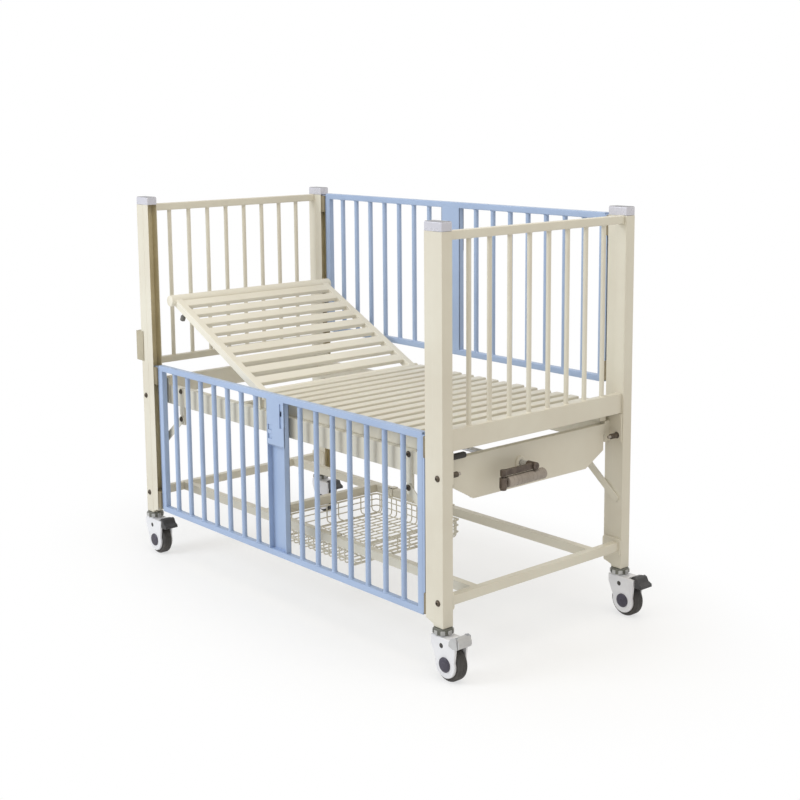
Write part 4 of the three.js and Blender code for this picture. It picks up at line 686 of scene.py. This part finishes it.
# Lower frame: two cross rails on foot plates between the posts, joined by two long rails and a tie.
# Square steel tube, welded, coated cream and bolted through the posts.
LOWER_LOW, LOWER_TOP, LOWER_HALF = 0.198, 0.226, 0.012
LONG_Y, TIE_X = 0.240, -0.255
FOOT_IN, FOOT_OUT, FOOT_LOW, FOOT_TOP, FOOT_ROUND = 0.691, 0.759, 0.186, 0.238, 0.010
FOOT_PLATE_IN, FOOT_PLATE_OUT = 0.3417, 0.3467
lower = bmesh.new()
tie_end = LONG_Y - LOWER_HALF + 0.002
soft_bar(lower, (TIE_X - LOWER_HALF, -tie_end, LOWER_LOW), (TIE_X + LOWER_HALF, tie_end, LOWER_TOP), 0.0015)
for side in (-1, 1):
    soft_bar(lower, (-POST_X + LOWER_HALF - 0.002, side * LONG_Y - LOWER_HALF, LOWER_LOW),
             (POST_X - LOWER_HALF + 0.002, side * LONG_Y + LOWER_HALF, LOWER_TOP), 0.0015)
    for end in (-1, 1):
        before = set(lower.edges)
        foot = ((FOOT_IN, FOOT_LOW), (FOOT_OUT, FOOT_LOW), (FOOT_OUT, FOOT_TOP), (FOOT_IN, FOOT_TOP))
        plate(lower, [(end * x, side * FOOT_PLATE_IN, z) for x, z in foot], (0, side * (FOOT_PLATE_OUT - FOOT_PLATE_IN), 0))
        through = [e for e in lower.edges if e not in before and abs(e.verts[0].co.y - e.verts[1].co.y) > 0.001]
        roll(lower, through, FOOT_ROUND, 6)
for end in (-1, 1):
    soft_bar(lower, (end * POST_X - LOWER_HALF, -FOOT_PLATE_IN - 0.001, LOWER_LOW),
             (end * POST_X + LOWER_HALF, FOOT_PLATE_IN + 0.001, LOWER_TOP), 0.0025)
settle(lower, "under_frame", "cot_frame", cream_coat, "cream_paint", "lower_frame")


# Storage basket: a tray of bent round wire under the lower frame, with a stouter rim.
# Welded and coated cream; four flat hooks hang it over the long rails.
BASKET_HEAD, BASKET_FOOT, BASKET_HALF = -0.236, 0.190, 0.222
BASKET_LOW, BASKET_TOP = 0.134, 0.200
RIM, WIRE, BEND = 0.003, 0.002, 0.012
RIBS, RUNNERS, HOOPS = 17, 9, 2
HOOK_HALF, HOOK_OUT, HOOK_TOP, HOOK_SHEET = 0.010, 0.252, 0.2293, 0.003
HOOKS = (-0.166, 0.120)


def wire_path(points, closed=False):
    """The bent path of a wire: straight runs joined by rounded bends."""
    path = []
    count = len(points)
    for i, point in enumerate(map(Vector, points)):
        if not closed and i in (0, count - 1):
            path.append(point)
            continue
        back, on = Vector(points[i - 1]) - point, Vector(points[(i + 1) % count]) - point
        reach = min(BEND, back.length / 2, on.length / 2)
        start, end = point + back.normalized() * reach, point + on.normalized() * reach
        for step in (0, 0.33, 0.67, 1):
            path.append(start.lerp(point, step).lerp(point.lerp(end, step), step))
    return path


def drawn_wire(shape, points, radius, closed=False, sides=8):
    """A round wire along a bent path: rings of points bridged from one to the next."""
    path = wire_path(points, closed)
    rings = []
    for i, point in enumerate(path):
        ahead = path[(i + 1) % len(path)] if closed or i < len(path) - 1 else point
        behind = path[i - 1] if closed or i else point
        made = bmesh.ops.create_circle(shape, cap_ends=False, segments=sides, radius=radius, matrix=aim(point, ahead - behind))
        rings.append(list({e for v in made["verts"] for e in v.link_edges}))
    for first, second in zip(rings, rings[1:] + (rings[:1] if closed else [])):
        bmesh.ops.bridge_loops(shape, edges=first + second)
    if not closed:
        for ring in (rings[0], rings[-1]):
            bmesh.ops.contextual_create(shape, geom=ring)


basket = bmesh.new()
side_in, low, high = BASKET_HALF - WIRE, BASKET_LOW + WIRE, BASKET_TOP - RIM
for i in range(RIBS):
    x = BASKET_HEAD + RIM + (BASKET_FOOT - BASKET_HEAD - 2 * RIM) * i / (RIBS - 1)
    x = min(max(x, BASKET_HEAD + 0.020), BASKET_FOOT - 0.020) if i in (0, RIBS - 1) else x
    drawn_wire(basket, ((x, -side_in, high), (x, -side_in, low), (x, side_in, low), (x, side_in, high)), WIRE)
for i in range(RUNNERS):
    y = -side_in + 0.022 + (2 * side_in - 0.044) * i / (RUNNERS - 1)
    head, foot = BASKET_HEAD + WIRE, BASKET_FOOT - WIRE
    drawn_wire(basket, ((head, y, high), (head, y, low + 2 * WIRE), (foot, y, low + 2 * WIRE), (foot, y, high)), WIRE)
rim = ((BASKET_HEAD + RIM, BASKET_HALF - RIM), (BASKET_HEAD + RIM, RIM - BASKET_HALF),
       (BASKET_FOOT - RIM, RIM - BASKET_HALF), (BASKET_FOOT - RIM, BASKET_HALF - RIM))
drawn_wire(basket, [(x, y, BASKET_TOP - RIM) for x, y in rim], RIM, closed=True, sides=12)
for i in range(1, HOOPS + 1):
    z = BASKET_LOW + (BASKET_TOP - BASKET_LOW) * i / (HOOPS + 1)
    drawn_wire(basket, [(x, y, z) for x, y in rim], WIRE, closed=True)
for x in HOOKS:
    for side in (-1, 1):
        inner = side * (LONG_Y - LOWER_HALF - 0.0003)
        soft_bar(basket, (x - HOOK_HALF, inner - side * HOOK_SHEET, BASKET_TOP - 2 * RIM), (x + HOOK_HALF, inner, HOOK_TOP), 0.0006)
        soft_bar(basket, (x - HOOK_HALF, inner - side * HOOK_SHEET, HOOK_TOP - HOOK_SHEET), (x + HOOK_HALF, side * HOOK_OUT, HOOK_TOP), 0.0006)
        soft_bar(basket, (x - HOOK_HALF, inner - side * 2 * HOOK_SHEET, BASKET_TOP - 2 * RIM), (x + HOOK_HALF, side * (BASKET_HALF - 2 * RIM), BASKET_TOP - 2 * RIM + 0.002), 0.0006)
settle(basket, "wire_tray", "cot_frame", cream_coat, "cream_paint", "storage_basket")


# Pole socket: a square steel block on the head side of the near head post, bored for a drip pole.
# Coated stone grey; a strap of the same sheet laps round onto the post and is welded there.
SOCKET_HEAD, SOCKET_FOOT, SOCKET_HALF = -0.788, -0.7603, 0.015
SOCKET_LOW, SOCKET_TOP = 0.676, 0.778
SOCKET_BORE = 0.009
STRAP_SHEET, STRAP_FOOT = 0.003, -0.744
socket = bmesh.new()
square = ((SOCKET_HEAD, -POST_Y - SOCKET_HALF), (SOCKET_FOOT, -POST_Y - SOCKET_HALF),
          (SOCKET_FOOT, SOCKET_HALF - POST_Y), (SOCKET_HEAD, SOCKET_HALF - POST_Y))
socket_x = (SOCKET_HEAD + SOCKET_FOOT) / 2
plate(socket, [(x, y, SOCKET_LOW) for x, y in square], (0, 0, SOCKET_TOP - SOCKET_LOW))
roll(socket, socket.edges[:], 0.002)
for height in (SOCKET_LOW, SOCKET_TOP):
    bmesh.ops.delete(socket, geom=[f for f in socket.faces if abs(f.calc_center_median().z - height) < 1e-5], context="FACES_ONLY")
mouths = []
for height in (SOCKET_LOW, SOCKET_TOP):
    ring = bmesh.ops.create_circle(socket, cap_ends=False, segments=24, radius=SOCKET_BORE, matrix=Matrix.Translation((socket_x, -POST_Y, height)))
    mouth = list({e for v in ring["verts"] for e in v.link_edges})
    rim_edges = [e for e in socket.edges if e.is_boundary and e not in mouth and abs(e.verts[0].co.z - height) < 1e-5 and abs(e.verts[1].co.z - height) < 1e-5]
    bmesh.ops.bridge_loops(socket, edges=mouth + rim_edges)
    mouths += mouth
bmesh.ops.bridge_loops(socket, edges=mouths)
stone_coat = finish("stone_powder_coat", tone(176, 167, 143), tone(164, 155, 131), (0.4, 0.55),
                    (750.0, 0.0002), (tone(200, 194, 178), 0.5), coat=0.1, drift=16.0)
settle(socket, "drip_pole_socket", "cot_frame", stone_coat, "cream_paint", "pole_socket")

strap = bmesh.new()
soft_bar(strap, (SOCKET_HEAD + 0.001, -POST_OUT - STRAP_SHEET, SOCKET_LOW),
         (STRAP_FOOT, -POST_OUT - 0.0002, SOCKET_TOP), 0.001)
soft_bar(strap, (SOCKET_HEAD + 0.003, -POST_OUT - 0.001, SOCKET_LOW + 0.002),
         (SOCKET_FOOT - 0.001, -POST_Y - SOCKET_HALF + 0.001, SOCKET_TOP - 0.002), 0.001)
settle(strap, "socket_strap", "cot_frame", stone_coat, "cream_paint")


# Casters: a notched swivel collar under each post and a white moulded shell of two cheeks round a wheel.
# The collar is grey metal pressed into the post; the shell turns under it on a ball race.
TRAIL, AXLE_Z = 0.032, 0.050
COLLAR_LOW, COLLAR_TOP, COLLAR_OUT, SKIRT_LOW = 0.1347, 0.1427, 0.0265, 0.1255
NOTCHES = 8
CHEEK_IN, CHEEK_OUT, CHEEK_ROUND = 0.0175, 0.0245, 0.038
SHELL_BACK, SHELL_FRONT, SHELL_TOP, SHELL_BRIDGE, SHELL_BOSS = -0.024, 0.074, 0.122, 0.106, 0.1344
BOSS, BRIDGE_FRONT = 0.024, 0.048
RIVET_AT = (0.018, 0.100)
white_shell = finish("white_shell", tone(226, 226, 229), tone(218, 218, 222), (0.28, 0.42), (800.0, 0.00012),
                     (tone(205, 204, 206), 0.35), coat=0.2, drift=14.0)
grey_cast = finish("grey_cast", tone(186, 186, 184), tone(160, 160, 158), (0.4, 0.6), (700.0, 0.0002),
                   (tone(180, 180, 182), 0.5), metal=0.3, drift=30.0)
dull_cast = finish("dull_cast", tone(118, 118, 110), tone(98, 98, 90), (0.45, 0.65), (700.0, 0.0002),
                   (tone(150, 150, 145), 0.5), metal=0.3, drift=30.0)
head_section = ((0, COLLAR_LOW), (0.0247, COLLAR_LOW), (0.0247, SKIRT_LOW), (COLLAR_OUT, SKIRT_LOW),
                (COLLAR_OUT, 0.1395), (0.0250, COLLAR_TOP), (0, COLLAR_TOP))
boss_section = ((0, 0.110), (BOSS + 0.003, 0.1215), (BOSS, 0.1245), (BOSS, SHELL_BOSS - 0.0015), (BOSS - 0.0015, SHELL_BOSS), (0, SHELL_BOSS))
rivet_section = ((0, CHEEK_OUT + 0.0010), (0.0055, CHEEK_OUT + 0.0008), (0.0075, CHEEK_OUT - 0.0002), (0, CHEEK_OUT - 0.0002))

for corner, (end, side) in CORNERS.items():
    stand = Matrix.Translation((end * POST_X, side * POST_Y, 0))
    head = bmesh.new()
    turned(head, head_section, (0, 0, 0), (0, 0, 1), 40)
    bmesh.ops.transform(head, matrix=stand, verts=head.verts)
    settle(head, f"swivel_collar_{corner}", "cot_frame", dull_cast, "dark_steel", f"caster_head_{corner}")
    lugs = bmesh.new()
    for i in range(NOTCHES):
        before = set(lugs.verts)
        soft_bar(lugs, (0.0255, -0.0065, 0.1262), (0.0295, 0.0065, 0.1385), 0.002)
        lug = [v for v in lugs.verts if v not in before]
        bmesh.ops.rotate(lugs, cent=(0, 0, 0), matrix=Matrix.Rotation(2 * math.pi * i / NOTCHES, 3, "Z"), verts=lug)
    bmesh.ops.transform(lugs, matrix=stand, verts=lugs.verts)
    settle(lugs, f"collar_lugs_{corner}", "cot_frame", grey_cast, "bright_steel")

    shell = bmesh.new()
    for cheek in (-1, 1):
        inner = cheek * CHEEK_IN
        before = set(shell.edges)
        outline = [(SHELL_BACK, inner, SHELL_TOP), (SHELL_FRONT, inner, SHELL_TOP)]
        outline += arc((TRAIL, inner, AXLE_Z), CHEEK_ROUND, 20, -190, 30) + [(SHELL_BACK, inner, 0.100)]
        plate(shell, outline, (0, cheek * (CHEEK_OUT - CHEEK_IN), 0))
        outer_edges = [e for e in shell.edges if e not in before and min(abs(v.co.y) for v in e.verts) > CHEEK_OUT - 1e-5]
        roll(shell, outer_edges, 0.0025, 3)
    soft_bar(shell, (SHELL_BACK, -CHEEK_IN - 0.001, SHELL_BRIDGE), (BRIDGE_FRONT, CHEEK_IN + 0.001, SHELL_TOP), 0.002)
    turned(shell, boss_section, (0, 0, 0), (0, 0, 1), 36)
    bmesh.ops.transform(shell, matrix=stand, verts=shell.verts)
    settle(shell, f"shell_{corner}", f"caster_{corner}", white_shell, "white_plastic", f"caster_shell_{corner}")

    rivets = bmesh.new()
    for cheek in (-1, 1):
        turned(rivets, rivet_section, (RIVET_AT[0], 0, RIVET_AT[1]), (0, cheek, 0), 24)
    bmesh.ops.transform(rivets, matrix=stand, verts=rivets.verts)
    settle(rivets, f"shell_rivets_{corner}", f"caster_{corner}", rubber_black, "black_plastic")


# Wheels: grey rubber tyres on moulded cores, on axles with dark round hub caps over the cheeks.
# Tyre and core are spun as one section; the caps press onto the axle ends.
TYRE, TREAD_HALF, CORE_HALF, WHEEL_BORE = 0.050, 0.010, 0.0135, 0.0064
tyre_rubber = finish("tyre_rubber", tone(70, 67, 64), tone(54, 52, 50), (0.55, 0.78), (450.0, 0.0003),
                     (tone(104, 101, 97), 0.5), drift=24.0)
hub_black = finish("hub_black", tone(66, 62, 77), tone(54, 51, 64), (0.36, 0.52), (900.0, 0.0001),
                   (tone(112, 108, 118), 0.5), drift=40.0)
half_tyre = ((WHEEL_BORE, CORE_HALF), (0.034, CORE_HALF), (0.0355, 0.016), (0.0445, 0.016), (0.0475, 0.0145), (0.0493, 0.0122),
             (TYRE, TREAD_HALF), (TYRE, 0.0042), (0.0494, 0.0036), (0.0494, 0.0028), (TYRE, 0.0022))
tyre_section = half_tyre + tuple((r, -h) for r, h in reversed(half_tyre)) + (half_tyre[0],)
cap_section = ((0, 0.0298), (0.0070, 0.0297), (0.0078, 0.0289), (0.0158, 0.0292), (0.0171, 0.0284), (0.0177, 0.0277),
               (0.0198, 0.0278), (0.0209, 0.0268), (0.0209, 0.0248), (0.006, 0.0248), (0.006, 0), (0, 0))
for corner, (end, side) in CORNERS.items():
    hub = (end * POST_X + TRAIL, side * POST_Y, AXLE_Z)
    wheel = bmesh.new()
    turned(wheel, tyre_section, hub, (0, 1, 0), 56)
    settle(wheel, f"tyre_{corner}", f"wheel_{corner}", tyre_rubber, "tyre", f"caster_wheel_{corner}")
    axle = bmesh.new()
    for cheek in (-1, 1):
        turned(axle, cap_section, hub, (0, cheek, 0), 36)
    settle(axle, f"hub_caps_{corner}", f"caster_{corner}", hub_black, "hub_plastic", f"caster_axle_{corner}")


# Pedals: moulded foot levers at the front of each shell, black brake pedals on three casters.
# The near foot caster has the short grey swivel lever; each turns on a pin between the cheeks and has a wider tread.
PEDAL_AT = (0.062, 0.112)
PEDAL_PIN, NECK_HALF, TREAD_WIDE, TREAD_FROM = 0.004, 0.016, 0.024, 0.015
BRAKE = ((-8, -9), (-8, 8), (0, 17), (14, 20), (24, 17), (31, 4), (43, -2), (44, -11), (27, -13), (12, -12))
PLAIN = ((-8, -9), (-8, 8), (-2, 18), (8, 24), (18, 22), (25, 11), (26, 0), (20, -7), (12, -10))
EAR = ((-13, -4), (-12, 8), (-4, 20), (8, 24.5), (18, 22.5), (20, -7), (2, -9))
EAR_IN, EAR_OUT = 0.0252, 0.0272


def moulded(shape, outline, low, high, after=None, up_to=None):
    """One rounded part of a moulding: an outline drawn across, cut off before or past a length."""
    part = bmesh.new()
    plate(part, [(p.x, low, p.z) for p in outline], (0, high - low, 0))
    for cut, way in ((after, -1), (up_to, 1)):
        if cut is not None:
            bmesh.ops.bisect_plane(part, geom=part.verts[:] + part.edges[:] + part.faces[:],
                                   plane_co=(cut, 0, 0), plane_no=(way, 0, 0), clear_outer=True)
            bmesh.ops.holes_fill(part, edges=[e for e in part.edges if e.is_boundary])
    bmesh.ops.recalc_face_normals(part, faces=part.faces)
    roll(part, part.edges[:], min(0.0015, abs(high - low) / 3), 3)
    made = bpy.data.meshes.new("moulded_part")
    part.to_mesh(made)
    part.free()
    shape.from_mesh(made)
    bpy.data.meshes.remove(made)


pedal_black = finish("pedal_black", tone(66, 65, 66), tone(52, 51, 52), (0.45, 0.62), (700.0, 0.0002),
                     (tone(98, 97, 97), 0.5), drift=30.0)
pedal_grey = finish("pedal_grey", tone(190, 190, 190), tone(176, 176, 177), (0.4, 0.55), (700.0, 0.0002),
                    (tone(150, 150, 150), 0.4), drift=30.0)
for corner, (end, side) in CORNERS.items():
    plain = corner == "foot_near"
    lever = [Vector((x, 0, z)) / 1000 for x, z in (PLAIN if plain else BRAKE)]
    pedal = bmesh.new()
    moulded(pedal, lever, -NECK_HALF, NECK_HALF, up_to=TREAD_FROM + 0.001)
    moulded(pedal, lever, -TREAD_WIDE, TREAD_WIDE, after=TREAD_FROM)
    if plain:
        ear = [Vector((x, 0, z)) / 1000 for x, z in EAR]
        for cheek in (-1, 1):
            moulded(pedal, ear, cheek * EAR_IN, cheek * EAR_OUT)
    round_bar(pedal, (0, -CHEEK_IN + 0.0004, 0), (0, CHEEK_IN - 0.0004, 0), 0.007, 20)
    round_bar(pedal, (0, -CHEEK_OUT + 0.001, 0), (0, CHEEK_OUT - 0.001, 0), PEDAL_PIN, 18)
    bmesh.ops.translate(pedal, vec=(end * POST_X + PEDAL_AT[0], side * POST_Y, PEDAL_AT[1]), verts=pedal.verts)
    settle(pedal, f"lever_{corner}", f"pedal_{corner}", pedal_grey if plain else pedal_black,
           "grey_plastic" if plain else "black_plastic", f"caster_pedal_{corner}")


# Studio: a pale floor that keeps the cot's shadow, a soft key from the near side and a softbox above.
# The background is plain white to the camera only; the camera stands where the photograph was taken.
FLOOR_HALF = 14.0
floor = bmesh.new()
bmesh.ops.create_grid(floor, x_segments=1, y_segments=1, size=FLOOR_HALF)
floor_mesh = bpy.data.meshes.new("studio_floor")
floor.to_mesh(floor_mesh)
floor.free()


def looked_at(tree):
    """One where the camera sees a surface straight on, in a gloss or through glass, and none for light."""
    rays = wire_up(tree, "LightPath").outputs
    seen = wire_up(tree, "Math", {"operation": "MAXIMUM"}, i0=rays["Is Camera Ray"], i1=rays["Is Transmission Ray"])
    direct = wire_up(tree, "Math", {"operation": "MAXIMUM"}, i0=seen.outputs["Value"], i1=rays["Is Glossy Ray"])
    return direct.outputs["Value"]


floor_paint = finish("floor_paint", tone(248, 248, 248), tone(247, 247, 247), (0.6, 0.7), (300.0, 0.00005),
                     (tone(248, 248, 248), 0.1))
tree = floor_paint.node_tree
place = wire_up(tree, "TexCoord").outputs["Object"]
oval = wire_up(tree, "Mapping", Vector=place, Scale=(0.62, 1, 1)).outputs["Vector"]
reach = wire_up(tree, "VectorMath", {"operation": "LENGTH"}, i0=oval).outputs["Value"]
away = wire_up(tree, "MapRange", {"interpolation_type": "SMOOTHSTEP"}, Value=reach, i1=0.45, i2=1.0, i3=0.55, i4=1.0)
paper = wire_up(tree, "Emission", Color=WHITE, Strength=1.0).outputs["Emission"]
near_floor = tree.nodes["Principled BSDF"].outputs["BSDF"]
shown = wire_up(tree, "Math", {"operation": "MULTIPLY"}, i0=away.outputs["Result"], i1=looked_at(tree))
sweep = wire_up(tree, "MixShader", Fac=shown.outputs["Value"], i1=near_floor, i2=paper).outputs["Shader"]
tree.links.new(sweep, tree.nodes["Material Output"].inputs["Surface"])
floor_mesh.materials.append(floor_paint)
studio_floor = bpy.data.objects.new("studio_floor", floor_mesh)
bpy.context.scene.collection.objects.link(studio_floor)


def lamp(name, place, target, power, size, tint):
    """A square soft lamp aimed at a point."""
    light = bpy.data.lights.new(name, "AREA")
    light.energy, light.size, light.color = power, size, tint
    made = bpy.data.objects.new(name, light)
    made.matrix_world = aim(place, Vector(place) - Vector(target))
    bpy.context.scene.collection.objects.link(made)


lamp("key", (-1.6, -4.3, 3.0), (0, 0, 0.5), 124, 2.4, (0.865, 0.925, 1.0))
lamp("overhead", (1.6, -0.2, 3.8), (0, 0, 0.3), 48, 3.0, (1.0, 0.945, 0.83))

world = bpy.data.worlds.new("white_room")
bpy.context.scene.world = world
world.use_nodes = True
sky = world.node_tree
sky.nodes.clear()
white = wire_up(sky, "Background", Color=WHITE, Strength=1.0).outputs["Background"]
ambient = wire_up(sky, "Background", Color=(1.0, 0.975, 0.93, 1.0), Strength=0.6).outputs["Background"]
room = wire_up(sky, "MixShader", Fac=looked_at(sky), i1=ambient, i2=white).outputs["Shader"]
wire_up(sky, "OutputWorld", Surface=room)

EYE = (3.3670, -2.7949, 1.5309)
YAW, PITCH, ROLL = 0.8553, 0.1527, -0.0081
camera_data = bpy.data.cameras.new("photo_camera")
camera_data.sensor_width, camera_data.lens = 36.0, 62.42
camera_data.shift_y = -0.1
camera = bpy.data.objects.new("photo_camera", camera_data)
look = Matrix.Rotation(YAW, 4, "Z") @ Matrix.Rotation(math.pi / 2 - PITCH, 4, "X") @ Matrix.Rotation(ROLL, 4, "Z")
camera.matrix_world = Matrix.Translation(EYE) @ look
bpy.context.scene.collection.objects.link(camera)
bpy.context.scene.camera = camera
bpy.context.scene.view_settings.view_transform = "Standard"
